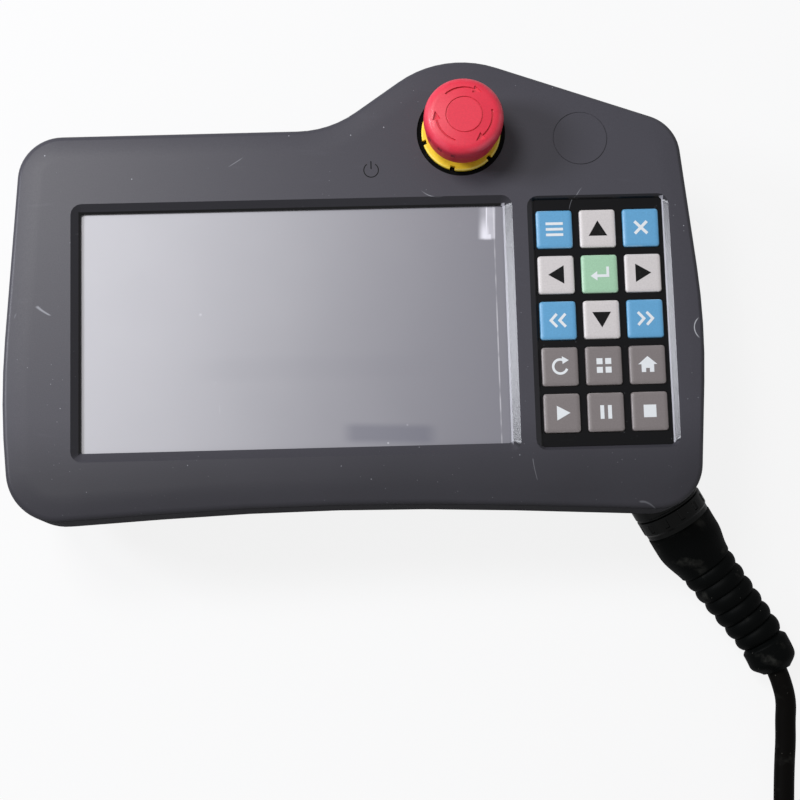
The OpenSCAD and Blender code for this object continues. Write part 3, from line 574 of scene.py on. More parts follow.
@dataclass(frozen=True)
class TouchScreen:
    """The unlit display under its satin touch film, with a painted sheen that pales it to the upper
    left, a painted glare and its marks.

    Args:
        name: the material's name.
        low: the touch panel's lower left corner.
        high: its upper right corner.
        weave: the pitch of the display's grid.
        smudges: the smears on it.
        glare_foot: the foot of the painted glare, a pale patch at the upper right which leans a little.
        glare_lean: how far the patch leans, as a slope.
        glare_line: the place of the thin pale line beside it.
    """

    name: str
    low: Point
    high: Point
    weave: float = 0.9 * MM
    smudges: tuple[Smudge, ...] = (
        Smudge((12 * MM, -54.5 * MM), (12 * MM, 1.6 * MM), (7 * MM, 3.2 * MM), 0.42,
               srgb(72, 74, 92), 0.04),
        Smudge((-15 * MM, -30 * MM), (30 * MM, 2 * MM), (20 * MM, 4 * MM), 0.08,
               srgb(110, 110, 120)))
    glare_foot: Pair = (49.4 * MM, 17.8 * MM)
    glare_lean: float = 0.036
    glare_line: float = 52.6 * MM

    def glare(self, g: Graph, x: Wave, y: Wave) -> Wave:
        """The painted glare, a lamp's reflection painted as a pale patch: a halo, a panel with a
        brighter rim on each side, and a bright foot.

        Args:
            g: the material's graph.
            x: the surface point's X.
            y: its Y.

        Returns:
            How pale it makes each point.
        """
        left, foot = self.glare_foot
        lean = x - (y - 23 * MM) * self.glare_lean
        fade = 0.25 + y.step(27 * MM, 18 * MM) * 0.6
        halo = lean.spot(left, 0.3 * MM, 2.8 * MM) * fade
        panel = lean.spot(left + 2 * MM, 1.6 * MM, 0.3 * MM) * (0.3 + g.noise(220, 3) * 0.25)
        rims = (lean.spot(left + 0.5 * MM, 0.15 * MM, 0.3 * MM) * 0.8
                + lean.spot(left + 3.5 * MM, 0.1 * MM, 0.3 * MM) * 0.4)
        end = lean.spot(left + 0.9 * MM, 0.9 * MM, 1.2 * MM) * y.spot(foot, 0.5 * MM, 1.1 * MM)
        tall = y.spot(foot + 5.1 * MM, 5.4 * MM, 1.2 * MM)
        return (halo.over(panel).over(rims) * tall).over(end * 0.8)

    def material(self) -> bpy.types.Material:
        """Builds the material.

        Returns:
            The new material.
        """
        g = Graph(self.name)
        x, y, _ = g.axes()
        across = (x - self.low[0]) / (self.high[0] - self.low[0])
        upward = (y - self.low[1]) / (self.high[1] - self.low[1])
        uneven = (upward - 0.5) * 0.12 + (g.noise(14, 3) - 0.5) * 0.22
        # Painted sheen: the film paler towards the upper left.
        sheen = (1 - across * 1.15 + uneven).step(-0.25, 1.1)
        base = g.mix(sheen, srgb(120, 119, 127), srgb(176, 175, 180))
        rows, columns = ((axis * (2 * math.pi / self.weave)).sine() for axis in (x, y))
        base = g.mix((rows * columns * 0.5 + 0.5) * 0.05, base, srgb(70, 70, 76))
        for smudge in self.smudges:
            base = g.mix(smudge.share(x, y), base, smudge.colour)
        # Painted glare: a reflection painted into the film's colour.
        base = g.mix(self.glare(g, x, y), base, srgb(240, 239, 248))
        broken = g.noise(120, 2, (0.1, 1, 1)).step(0.3, 0.6)
        # A thin painted reflection line beside the glare.
        line = x.spot(self.glare_line, 0.12 * MM, 0.2 * MM) * broken
        base = g.mix(line * 0.45, base, srgb(226, 224, 230))
        dots = g.specks(95, 0.06) * g.noise(30, 2).step(0.47, 0.62)
        scratch = g.noise(150, 2, (5, 0.35, 1)).step(0.74, 0.8) * g.noise(34, 2).step(0.55, 0.7)
        base = g.mix((dots * 0.55 + scratch * 0.4).under(1), base, srgb(224, 224, 230))
        return g.surface(Base_Color=base, Roughness=0.42 + g.noise(40, 4) * 0.1 + dots * 0.2,
                         Normal=g.bump(g.noise(900, 2), 0.006 * MM))


@dataclass(frozen=True)
class Metal:
    """Plated or turned metal with fine tool marks along one axis and a little tarnish.

    Args:
        name: the material's name.
        colour: its colour.
        roughness: its roughness between the marks.
        marks: how much finer the tool marks are along each axis.
    """

    name: str
    colour: Colour
    roughness: float = 0.3
    marks: Point = (1, 12, 1)

    def material(self) -> bpy.types.Material:
        """Builds the material.

        Returns:
            The new material.
        """
        g = Graph(self.name)
        lines = g.noise(700, 3, self.marks)
        tarnish = g.noise(120, 4).step(0.45, 0.75)
        return g.surface(Base_Color=g.mix(tarnish * 0.35, self.colour, darker(self.colour, 0.55)),
                         Roughness=self.roughness + lines * 0.12 + tarnish * 0.15,
                         Metallic=0.92, Normal=g.bump(lines, 0.01 * MM))


@dataclass(frozen=True)
class Rubber:
    """Black rubber or soft cable plastic, with a skin of fine pits, a sheen and dusty scuffs.

    Args:
        name: the material's name.
        colour: its colour.
        roughness: its roughness between the scuffs.
        pits: how deep its pits are.
        scuffs: how strong its scuffs are.
    """

    name: str
    colour: Colour
    roughness: float = 0.5
    pits: float = 0.02 * MM
    scuffs: float = 0.25

    def material(self) -> bpy.types.Material:
        """Builds the material.

        Returns:
            The new material.
        """
        g = Graph(self.name)
        skin = g.noise(1800, 3)
        rubbed = g.noise(110, 4).step(0.56, 0.74) * self.scuffs
        base = g.mix(rubbed, self.colour, srgb(84, 84, 80))
        base = g.mix(g.specks(260, 0.05) * 0.4, base, srgb(120, 118, 112))
        rough = self.roughness + (skin - 0.5) * 0.16 + rubbed * 0.2
        return g.surface(Base_Color=base, Roughness=rough, Specular_IOR_Level=0.03,
                         Normal=g.bump(skin, self.pits))


@dataclass(frozen=True)
class CircuitBoard:
    """Green solder mask over copper tracks, with rows of bright pads.

    Args:
        name: the material's name.
        pads: half the pitch of its pads along X and along Y.
    """

    name: str
    pads: Pair = (1.27 * MM, 4 * MM)

    def material(self) -> bpy.types.Material:
        """Builds the material.

        Returns:
            The new material.
        """
        g = Graph(self.name)
        x, y, _ = g.axes()
        mask = tuple((a + b) / 2 for a, b in zip(srgb(14, 60, 36), srgb(22, 84, 48)))
        tracks = g.node("ShaderNodeTexBrick", {"offset": 0.5}, {
            "Vector": g.place(), "Scale": 60.0, "Mortar Size": 0.012, "Color1": (0, 0, 0),
            "Color2": (0, 0, 0), "Mortar": (1, 1, 1)}).outputs["Color"]
        base = g.mix(tracks, mask, srgb(48, 116, 70))
        rows, columns = ((axis * (math.pi / pitch)).sine() for axis, pitch in zip((x, y), self.pads))
        base = g.mix(rows.step(0.3, 0.5) * columns.step(0.85, 0.95), base, srgb(200, 190, 150))
        return g.surface(Base_Color=base, Roughness=0.35 + g.noise(300) * 0.1, Coat_Weight=0.4,
                         Normal=g.bump(g.noise(900, 2), 0.01 * MM))


@dataclass(frozen=True)
class Webbing:
    """Black nylon webbing: rows of a plain weave along and across the band.

    Args:
        name: the material's name.
        yarn: the pitch of its yarns.
    """

    name: str
    yarn: float = 1.1 * MM

    def material(self) -> bpy.types.Material:
        """Builds the material.

        Returns:
            The new material.
        """
        g = Graph(self.name)
        x, y, _ = g.axes()
        warp = (x * (2 * math.pi / self.yarn)).sine()
        weft = (y * (2 * math.pi / (self.yarn * 1.3))).sine()
        weave = (warp * weft) * 0.5 + 0.5
        fuzz = g.noise(1500, 3)
        base = g.mix(weave, srgb(15, 15, 17), srgb(46, 46, 50))
        base = g.mix(fuzz.step(0.55, 0.8) * 0.35, base, srgb(88, 88, 90))
        return g.surface(Base_Color=base, Roughness=0.8 + fuzz * 0.1,
                         Normal=g.bump(weave + fuzz * 0.3, 0.25 * MM))


@dataclass(frozen=True)
class Ink:
    """A printed symbol, with slightly uneven cover.

    Args:
        name: the material's name.
        colour: its colour.
    """

    name: str
    colour: Colour

    def material(self) -> bpy.types.Material:
        """Builds the material.

        Returns:
            The new material.
        """
        g = Graph(self.name)
        thin = g.noise(900, 3).step(0.5, 0.85) * 0.25
        under = tuple(c * 0.6 + 0.05 for c in self.colour)
        return g.surface(Base_Color=g.mix(thin, self.colour, under), Roughness=0.5 + thin * 0.5,
                         Specular_IOR_Level=0.1)


def key_plastic(name: str, colour: Colour, worn: Colour, marks: float = 0.08) -> MouldedPlastic:
    """The plastic of a key's cap."""
    return MouldedPlastic(name, colour, worn, roughness=0.42, grain_scale=1800,
                          grain_depth=0.015 * MM, marks=marks, wear=0.5)


def stop_side(turn: float) -> Point:
    """A point low on the side of the stop's head, at an angle in degrees about its axis."""
    axis, radius, height, angle = (41.4 * MM, 56.9 * MM), 14.4 * MM, 76.2 * MM, math.radians(turn)
    return axis[0] + radius * math.cos(angle), axis[1] + radius * math.sin(angle), height


class Paint(Enum):
    """Every finish on the pendant, with the name of the material slot that it belongs to."""

    # The shell carries painted shade low down and round its openings, and painted highlights on the
    # right-hand slopes' feet.
    SHELL = ("shell", MouldedPlastic(
        "HousingPlastic", srgb(70, 69, 76), srgb(118, 118, 130), roughness=0.36, grain_scale=2400,
        grain_depth=0.02 * MM, wear=0.0, dust=0.7, shine=0.18, shade_line=-44 * MM,
        zones=housing_zones()))
    PLATE = ("plate", MouldedPlastic(
        "KeypadPlate", srgb(14, 14, 16), srgb(70, 70, 74), roughness=0.34, grain_scale=2400,
        grain_depth=0.01 * MM, marks=0.15, wear=0.2, dust=0.4, shine=0.1))
    KEY_BLUE = ("key_blue", key_plastic("BlueKey", srgb(92, 158, 202), srgb(166, 204, 230)))
    KEY_PALE = ("key_pale", key_plastic("PaleKey", srgb(206, 201, 201), srgb(228, 225, 225)))
    KEY_GREEN = ("key_green", key_plastic("GreenKey", srgb(158, 200, 168), srgb(206, 228, 210)))
    KEY_DARK = ("key_dark", key_plastic("DarkKey", srgb(120, 113, 113), srgb(170, 164, 164), 0.1))
    STOP_RED = ("stop_red", MouldedPlastic(
        "StopRed", srgb(222, 40, 66), srgb(238, 110, 132), roughness=0.46, grain_scale=1600,
        grain_depth=0.02 * MM, marks=0.12, coat=0.05,
        pits=tuple(stop_side(turn) for turn in (211, 232, 253))))
    COLLAR = ("collar_yellow", MouldedPlastic(
        "CollarYellow", srgb(255, 218, 52), srgb(252, 236, 150), roughness=0.42, grain_scale=1600,
        grain_depth=0.02 * MM, marks=0.04, wear=0.4))
    INNER = ("inner_plastic", MouldedPlastic("InnerPlastic", srgb(52, 52, 56), srgb(90, 90, 94)))
    GLAND = ("gland_plastic", MouldedPlastic(
        "GlandNylon", srgb(7, 8, 8), srgb(52, 54, 56), roughness=0.26, grain_scale=1500,
        grain_depth=0.012 * MM, marks=0.05, wear=0.1, dust=0.4, shine=0.1))
    INSERT = ("insert_plastic", MouldedPlastic(
        "InsertPlastic", srgb(38, 38, 40), srgb(84, 84, 88), roughness=0.45))
    RUBBER = ("rubber", Rubber("BlackRubber", srgb(5, 6, 6)))
    JACKET = ("cable_jacket", Rubber(
        "CableJacket", srgb(8, 7, 6), roughness=0.42, pits=0.012 * MM, scuffs=0.15))
    SCREEN = ("screen", TouchScreen("TouchScreen", *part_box("touch_panel")))
    FRAME_STEEL = ("display_metal", Metal("DisplayFrame", srgb(176, 178, 182), 0.4))
    STEEL = ("steel", Metal("ScrewSteel", srgb(176, 178, 180)))
    BRASS = ("brass", Metal("Brass", srgb(206, 176, 104), marks=(1, 1, 8)))
    HOOD = ("hood_metal", Metal("HoodZinc", srgb(136, 138, 142), 0.42, marks=(1, 1, 1)))
    BOARD = ("board", CircuitBoard("CircuitBoard"))
    WEBBING = ("webbing", Webbing("StrapWebbing"))
    THREAD = ("webbing", Webbing("StitchThread", 0.3 * MM))
    WHITE_INK = ("key_pale", Ink("WhiteInk", srgb(222, 226, 229)))
    BLACK_INK = ("plate", Ink("BlackInk", srgb(14, 14, 15)))

    @cached_property
    def material(self) -> bpy.types.Material:
        """The finish's material, built when it is first asked for."""
        return self.value[1].material()

    def dress(self, *pieces: bpy.types.Object) -> None:
        """Gives pieces this finish.

        Args:
            pieces: the CAD nodes or new pieces.
        """
        for piece in pieces:
            piece.data.materials.clear()
            piece.data.materials.append(self.material)
            LOG.info("%s: %s", piece.name, self.material.name)


# ==== meshes ====

def piece_of(name: str, data: bpy.types.ID) -> bpy.types.Object:
    """Makes an object at the origin.

    Args:
        name: its name.
        data: its mesh or curve, whose place is in its points, or its lamp or camera.

    Returns:
        The new object.
    """
    made = bpy.data.objects.new(name, data)
    bpy.context.scene.collection.objects.link(made)
    return made


def settle(piece: bpy.types.Object, paint: Paint, body: str, *nodes: str) -> bpy.types.Object:
    """Gives a new piece its finish and its body.

    Args:
        piece: the piece.
        paint: its finish.
        body: the body that it rides on.
        nodes: the CAD nodes that it stands for.

    Returns:
        The piece.
    """
    paint.dress(piece)
    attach(piece, body)
    if nodes:
        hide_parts(*nodes)
    return piece


def smooth(mesh: bpy.types.Mesh, angle: float) -> None:
    """Shades a mesh smooth, apart from edges sharper than an angle in degrees."""
    mesh.shade_smooth()
    mesh.set_sharp_from_angle(angle=math.radians(angle))


def weigh_normals(piece: bpy.types.Object) -> None:
    """Lets the large faces lead the shading and shades level faces flat, so that no triangle shows.

    Args:
        piece: the piece, which gets a new mesh.
    """
    modifier = piece.modifiers.new("Weighted", "WEIGHTED_NORMAL")
    modifier.keep_sharp = True
    modifier.weight = 90
    graph = bpy.context.evaluated_depsgraph_get()
    mesh = bpy.data.meshes.new_from_object(piece.evaluated_get(graph))
    normals = [tuple(corner.vector) for corner in mesh.corner_normals]
    for face in mesh.polygons:
        if max(abs(part) for part in face.normal) > 0.99999:
            for corner in face.loop_indices:
                normals[corner] = tuple(face.normal)
    mesh.normals_split_custom_set(normals)
    piece.data = mesh
    piece.modifiers.clear()


def unfold(bm: bmesh.types.BMesh) -> None:
    """Joins each long triangle that is folded back over its neighbour with that neighbour.

    Args:
        bm: the mesh, which is changed.
    """
    folds = set()
    for face in bm.faces:
        longest = max(face.edges, key=lambda edge: edge.calc_length())
        if any(face.normal.dot(other.normal) < -0.99 for other in longest.link_faces):
            folds.add(longest)
    bmesh.ops.dissolve_edges(bm, edges=list(folds), use_verts=False)


def merged_copy(name: str, node: str, paint: Paint, body: str, angle: float = 32
                ) -> bpy.types.Object:
    """Copies a CAD node with its triangles joined, so that light runs smoothly over its roundings.

    Args:
        name: the new piece's name.
        node: the node that it stands for.
        paint: its finish.
        body: the body that it rides on.
        angle: edges sharper than this, in degrees, stay sharp.

    Returns:
        The new piece.
    """
    mesh = NODES[node].data.copy()
    if "custom_normal" in mesh.attributes:
        mesh.attributes.remove(mesh.attributes["custom_normal"])
    bm = bmesh.new()
    bm.from_mesh(mesh)
    bmesh.ops.remove_doubles(bm, verts=bm.verts, dist=0.002 * MM)
    unfold(bm)
    bmesh.ops.dissolve_limit(bm, angle_limit=math.radians(0.05), verts=bm.verts, edges=bm.edges)
    bm.to_mesh(mesh)
    bm.free()
    smooth(mesh, angle)
    piece = piece_of(name, mesh)
    weigh_normals(piece)
    return settle(piece, paint, body, node)


class Pen:
    """Draws flat symbols as thin raised ink, in millimetres about a centre.

    Args:
        at: the symbol's centre, on the surface that carries it.
        thick: how thick the ink is.
        layer: how much higher each further stroke lies, so that strokes may cross.
    """

    def __init__(self, at: Point, thick: float = 0.05 * MM, layer: float = 0.004 * MM) -> None:
        """Starts an empty drawing."""
        self.at, self.thick, self.layer, self.bm = Vector(at), thick, layer, bmesh.new()

    def shape(self, points: Iterable[Pair]) -> None:
        """Fills an outline.

        Args:
            points: its corners, anticlockwise.
        """
        low = [self.bm.verts.new(self.at + Vector((x * MM, y * MM, 0))) for x, y in points]
        made = bmesh.ops.extrude_face_region(self.bm, geom=[self.bm.faces.new(low)])
        top = [v for v in made["geom"] if isinstance(v, bmesh.types.BMVert)]
        bmesh.ops.translate(self.bm, verts=top, vec=(0, 0, self.thick))
        self.thick += self.layer

    def stroke(self, points: Sequence[Pair], width: float = 0.9) -> None:
        """Draws a line with mitred corners.

        Args:
            points: the points that it runs through.
            width: its width.
        """
        path = [Vector(p) for p in points]
        left, right = [], []
        for i, here in enumerate(path):
            before = (here - path[i - 1]).normalized() if i else (path[1] - here).normalized()
            after = (path[i + 1] - here).normalized() if i < len(path) - 1 else before
            along = (before + after).normalized()
            out = Vector((-along.y, along.x)) * (width / 2 / max(0.5, along.dot(after)))
            left.append(here + out)
            right.append(here - out)
        self.shape([tuple(p) for p in right + left[::-1]])

    def bar(self, x: float, y: float, w: float, h: float) -> None:
        """Fills an upright rectangle about a centre."""
        a, b = w / 2, h / 2
        self.shape([(x - a, y - b), (x + a, y - b), (x + a, y + b), (x - a, y + b)])

    def arc(self, r: float, start: float, end: float, width: float = 0.9, steps: int = 24) -> None:
        """Draws a stretch of a circle between two angles in degrees."""
        turns = [math.radians(start + (end - start) * i / steps) for i in range(steps + 1)]
        self.stroke([(r * math.cos(t), r * math.sin(t)) for t in turns], width)

    def piece(self, name: str, paint: Paint, body: str) -> bpy.types.Object:
        """Ends the drawing as a piece.

        Args:
            name: the piece's name.
            paint: its finish.
            body: the body that it rides on.

        Returns:
            The new piece.
        """
        bmesh.ops.recalc_face_normals(self.bm, faces=self.bm.faces)
        mesh = bpy.data.meshes.new(name)
        self.bm.to_mesh(mesh)
        self.bm.free()
        return settle(piece_of(name, mesh), paint, body)


class Symbol(Enum):
    """What a key shows: generic signs, with no words."""

    MENU = "menu"
    UP = "up"
    ESCAPE = "escape"
    LEFT = "left"
    ENTER = "enter"
    RIGHT = "right"
    PREVIOUS = "previous"
    DOWN = "down"
    NEXT = "next"
    AUTO = "auto"
    MODE = "mode"
    HOME = "home"
    RUN = "run"
    PAUSE = "pause"
    STOP = "stop"

    def draw(self, pen: Pen) -> None:
        """Draws the sign.

        Args:
            pen: the pen, at the middle of the key.
        """
        turns = {Symbol.UP: 0, Symbol.LEFT: 90, Symbol.DOWN: 180, Symbol.RIGHT: 270}
        if self in turns:
            turn = Matrix.Rotation(math.radians(turns[self]), 2)
            pen.shape([tuple(turn @ Vector(p)) for p in ((-3.45, -2.8), (3.45, -2.8), (0, 3))])
        elif self is Symbol.MENU:
            for y in (-2.1, 0, 2.1):
                pen.bar(0, y, 6.4, 1.0)
        elif self is Symbol.ESCAPE:
            pen.stroke([(-2.3, -2.3), (2.3, 2.3)], 1.1)
            pen.stroke([(-2.3, 2.3), (2.3, -2.3)], 1.1)
        elif self is Symbol.ENTER:
            pen.stroke([(3, 2.6), (3, -0.8), (-1.2, -0.8)], 1.0)
            pen.shape([(-3.4, -0.8), (-0.9, -2.6), (-0.9, 1.0)])
        elif self in (Symbol.PREVIOUS, Symbol.NEXT):
            side = -1.1 if self is Symbol.PREVIOUS else 1.1
            for x in (-1.6, 1.6):
                pen.stroke([(x - side, 2.4), (x + side, 0), (x - side, -2.4)], 1.0)
        elif self is Symbol.AUTO:
            pen.arc(2.6, 60, 340)
            pen.shape([(0.7, 3.8), (0.9, 0.9), (3.2, 2.3)])
        elif self is Symbol.MODE:
            for x in (-1.6, 1.6):
                for y in (-1.6, 1.6):
                    pen.bar(x, y, 2.2, 2.2)
        elif self is Symbol.HOME:
            pen.shape([(-3.5, 0.1), (3.5, 0.1), (0, 3.1)])
            pen.shape([(-2.3, -2.8), (-0.7, -2.8), (-0.7, 0.1), (-2.3, 0.1)])
            pen.shape([(0.7, -2.8), (2.3, -2.8), (2.3, 0.1), (0.7, 0.1)])
            pen.bar(0, -0.6, 1.4, 1.4)
        elif self is Symbol.RUN:
            pen.shape([(-1.9, -2.7), (3, 0), (-1.9, 2.7)])
        elif self is Symbol.PAUSE:
            for x in (-1.4, 1.4):
                pen.bar(x, 0, 1.4, 5)
        else:
            pen.bar(0, 0, 4.6, 4.6)


# ==== geometry nodes ====

class Pattern(NodeTree):
    """A Geometry Nodes tree that is built here, applied once and turned into a plain mesh.

    Args:
        name: the tree's name.
        sizes: the tree's named number inputs, in metres or counts.
    """

    def __init__(self, name: str, sizes: dict[str, float | int]) -> None:
        """Makes the tree, with one input for each size."""
        super().__init__(bpy.data.node_groups.new(name, "GeometryNodeTree"))
        self.sizes = sizes
        add = self.tree.interface.new_socket
        add("Geometry", in_out="INPUT", socket_type="NodeSocketGeometry")
        for key, value in sizes.items():
            kind = "NodeSocketInt" if isinstance(value, int) else "NodeSocketFloat"
            add(key, in_out="INPUT", socket_type=kind)
        add("Geometry", in_out="OUTPUT", socket_type="NodeSocketGeometry")
        self.start = self.node("NodeGroupInput")

    def size(self, key: str) -> Wave:
        """One of the tree's own inputs."""
        return Wave(self, self.start.outputs[key])

    def rod(self, sides: int, radius: Wave, length: Wave) -> bpy.types.NodeSocket:
        """A thin round rod along Z."""
        return self.node("GeometryNodeMeshCylinder", sockets={
            "Vertices": sides, "Radius": radius, "Depth": length}).outputs[0]

    def bake(self, name: str, geometry: bpy.types.NodeSocket, paint: Paint, body: str,
             source: bpy.types.Curve | None = None, angle: float = 35) -> bpy.types.Object:
        """Ends the tree, runs it and keeps the result as a plain piece.

        Args:
            name: the piece's name.
            geometry: what the tree makes.
            paint: the piece's finish.
            body: the body that it rides on.
            source: the curve that the tree starts from, where it needs one.
            angle: edges sharper than this, in degrees, stay sharp.

        Returns:
            The new piece.
        """
        real = self.node("GeometryNodeRealizeInstances", sockets={0: geometry})
        painted = self.node("GeometryNodeSetMaterial", sockets={
            "Geometry": real.outputs[0], "Material": paint.material})
        self.node("NodeGroupOutput", sockets={0: painted.outputs[0]})
        carrier = piece_of(name + "_carrier", source or bpy.data.meshes.new(name))
        modifier = carrier.modifiers.new("Pattern", "NODES")
        modifier.node_group = self.tree
        for item in self.tree.interface.items_tree:
            if item.in_out == "INPUT" and item.name in self.sizes:
                modifier[item.identifier] = self.sizes[item.name]
        graph = bpy.context.evaluated_depsgraph_get()
        mesh = bpy.data.meshes.new_from_object(carrier.evaluated_get(graph))
        bpy.data.objects.remove(carrier)
        bm = bmesh.new()
        bm.from_mesh(mesh)
        bmesh.ops.recalc_face_normals(bm, faces=bm.faces)
        bm.to_mesh(mesh)
        bm.free()
        smooth(mesh, angle)
        return settle(piece_of(name, mesh), paint, body)


def path_curve(name: str, points: Sequence[Point], bevel: float = 0.0) -> bpy.types.Curve:
    """Makes one smooth open line.

    Args:
        name: the curve's name.
        points: the points that it runs through.
        bevel: the radius of its round section, or 0 for a bare line.

    Returns:
        The curve.
    """
    curve = bpy.data.curves.new(name, "CURVE")
    curve.dimensions = "3D"
    curve.resolution_u = 4
    spline = curve.splines.new("BEZIER")
    spline.bezier_points.add(len(points) - 1)
    for knot, point in zip(spline.bezier_points, points):
        knot.co = point
        knot.handle_left_type = knot.handle_right_type = "AUTO"
    if bevel:
        curve.bevel_depth = bevel
        curve.bevel_resolution = 4
        curve.use_fill_caps = True
    return curve


# ==== the studio ====

@dataclass(frozen=True)
class Lamp:
    """A square soft box.

    Args:
        name: the lamp's name.
        at: its place.
        size: its side.
        power: its power in watts.
        tint: its colour.
    """

    name: str
    at: Point
    size: float
    power: float
    tint: Colour


@dataclass
class Studio:
    """Floor, soft lamps, white surroundings and the camera.

    Args:
        screen: the middle of the screen.
        face: the height of the front face.
        lens: the camera's focal length in millimetres.
        sensor: its sensor's width in millimetres.
        turn: how the pendant is turned before the camera, in degrees about X, Y and Z.
        offset: where the middle of the screen is before the camera.
        floor_size: the floor's side.
        floor_colour: its colour under the lamps.
        floor_glow: the strength of its plain white.
        floor_white: how much of that white the camera sees.
        floor_shine: how much of it a reflection shows.
        sky: how strongly the surroundings light the pendant.
        lamps: the soft boxes.
    """

    screen: Pair
    face: float
    lens: float = 76.5
    sensor: float = 36.0
    turn: Point = (-8.64, 1.41, 1.42)
    offset: Point = (-38.6 * MM, 26.7 * MM, -620.5 * MM)
    floor_size: float = 6.0
    floor_colour: Colour = (0.36, 0.36, 0.37)
    floor_glow: float = 1.15
    floor_white: float = 0.75
    floor_shine: float = 0.25
    sky: float = 0.33
    lamps: tuple[Lamp, ...] = (
        Lamp("KeyLamp", (-0.38, 0.36, 1.02), 0.32, 6.9, (1.0, 0.995, 0.99)),
        Lamp("SideLamp", (-0.82, 0.2, 0.68), 0.24, 7.4, (0.91, 0.93, 1.0)))

    def camera(self) -> None:
        """Puts the camera above the lower edge, looking down at the screen's face."""
        rx, ry, rz = (math.radians(a) for a in self.turn)
        view = (Matrix.Rotation(rz, 3, "Z") @ Matrix.Rotation(ry, 3, "Y")
                @ Matrix.Rotation(rx, 3, "X")).transposed()
        data = bpy.data.cameras.new("Camera")
        data.lens, data.sensor_width = self.lens, self.sensor
        made = piece_of("Camera", data)
        place = Vector((*self.screen, self.face)) - view @ Vector(self.offset)
        made.matrix_world = Matrix.Translation(place) @ view.to_4x4()
        bpy.context.scene.camera = made

    def light(self, lamp: Lamp) -> None:
        """Hangs a lamp that points at the pendant.

        Args:
            lamp: the lamp.
        """
        data = bpy.data.lights.new(lamp.name, "AREA")
        data.size, data.energy, data.color = lamp.size, lamp.power, lamp.tint
        made = piece_of(lamp.name, data)
        made.location = lamp.at
        aim = Vector((0, 0, self.face)) - Vector(lamp.at)
        made.rotation_euler = aim.to_track_quat("-Z", "Y").to_euler()

    @staticmethod
    def rays(g: Graph) -> tuple[Wave, Wave, Wave]:
        """Whether a ray comes from the camera, through clear glass, or from a reflection."""
        path, kinds = g.node("ShaderNodeLightPath"), ("Camera", "Transmission", "Glossy")
        return tuple(Wave(g, path.outputs[f"Is {kind} Ray"]) for kind in kinds)

    def floor(self) -> None:
        """A plain pale floor that stays white and keeps a soft shadow."""
        g = Graph("PaleFloor")
        camera, glass, glossy = self.rays(g)
        white = (camera.over(glass) * self.floor_white).over(glossy * self.floor_shine)
        pale = g.node("ShaderNodeBsdfDiffuse", sockets={"Color": self.floor_colour})
        glow = g.node("ShaderNodeEmission", sockets={
            "Color": (1.0, 1.0, 1.0), "Strength": self.floor_glow})
        mixed = g.node("ShaderNodeMixShader", sockets={
            0: white, 1: pale.outputs[0], 2: glow.outputs[0]})
        g.node("ShaderNodeOutputMaterial", sockets={"Surface": mixed.outputs[0]})
        bm = bmesh.new()
        bmesh.ops.create_grid(bm, x_segments=4, y_segments=4, size=self.floor_size / 2)
        mesh = bpy.data.meshes.new("Floor")
        bm.to_mesh(mesh)
        bm.free()
        mesh.materials.append(g.owner)
        piece_of("Floor", mesh)

    def world(self) -> None:
        """Even white surroundings, plain for the camera and softer as a light."""
        g = Graph("World", "worlds")
        camera, glass, glossy = self.rays(g)
        white = camera.over(glossy).over(glass)
        sky = g.node("ShaderNodeBackground", sockets={
            "Strength": white * (1 - self.sky) + self.sky})
        g.node("ShaderNodeOutputWorld", sockets={0: sky.outputs[0]})
        bpy.context.scene.world = g.owner

    def build(self) -> None:
        """Builds the whole studio."""
        bpy.context.scene.view_settings.view_transform = "Standard"
        self.camera()
        self.floor()
        self.world()
        for lamp in self.lamps:
            self.light(lamp)


# ==== the cable ====

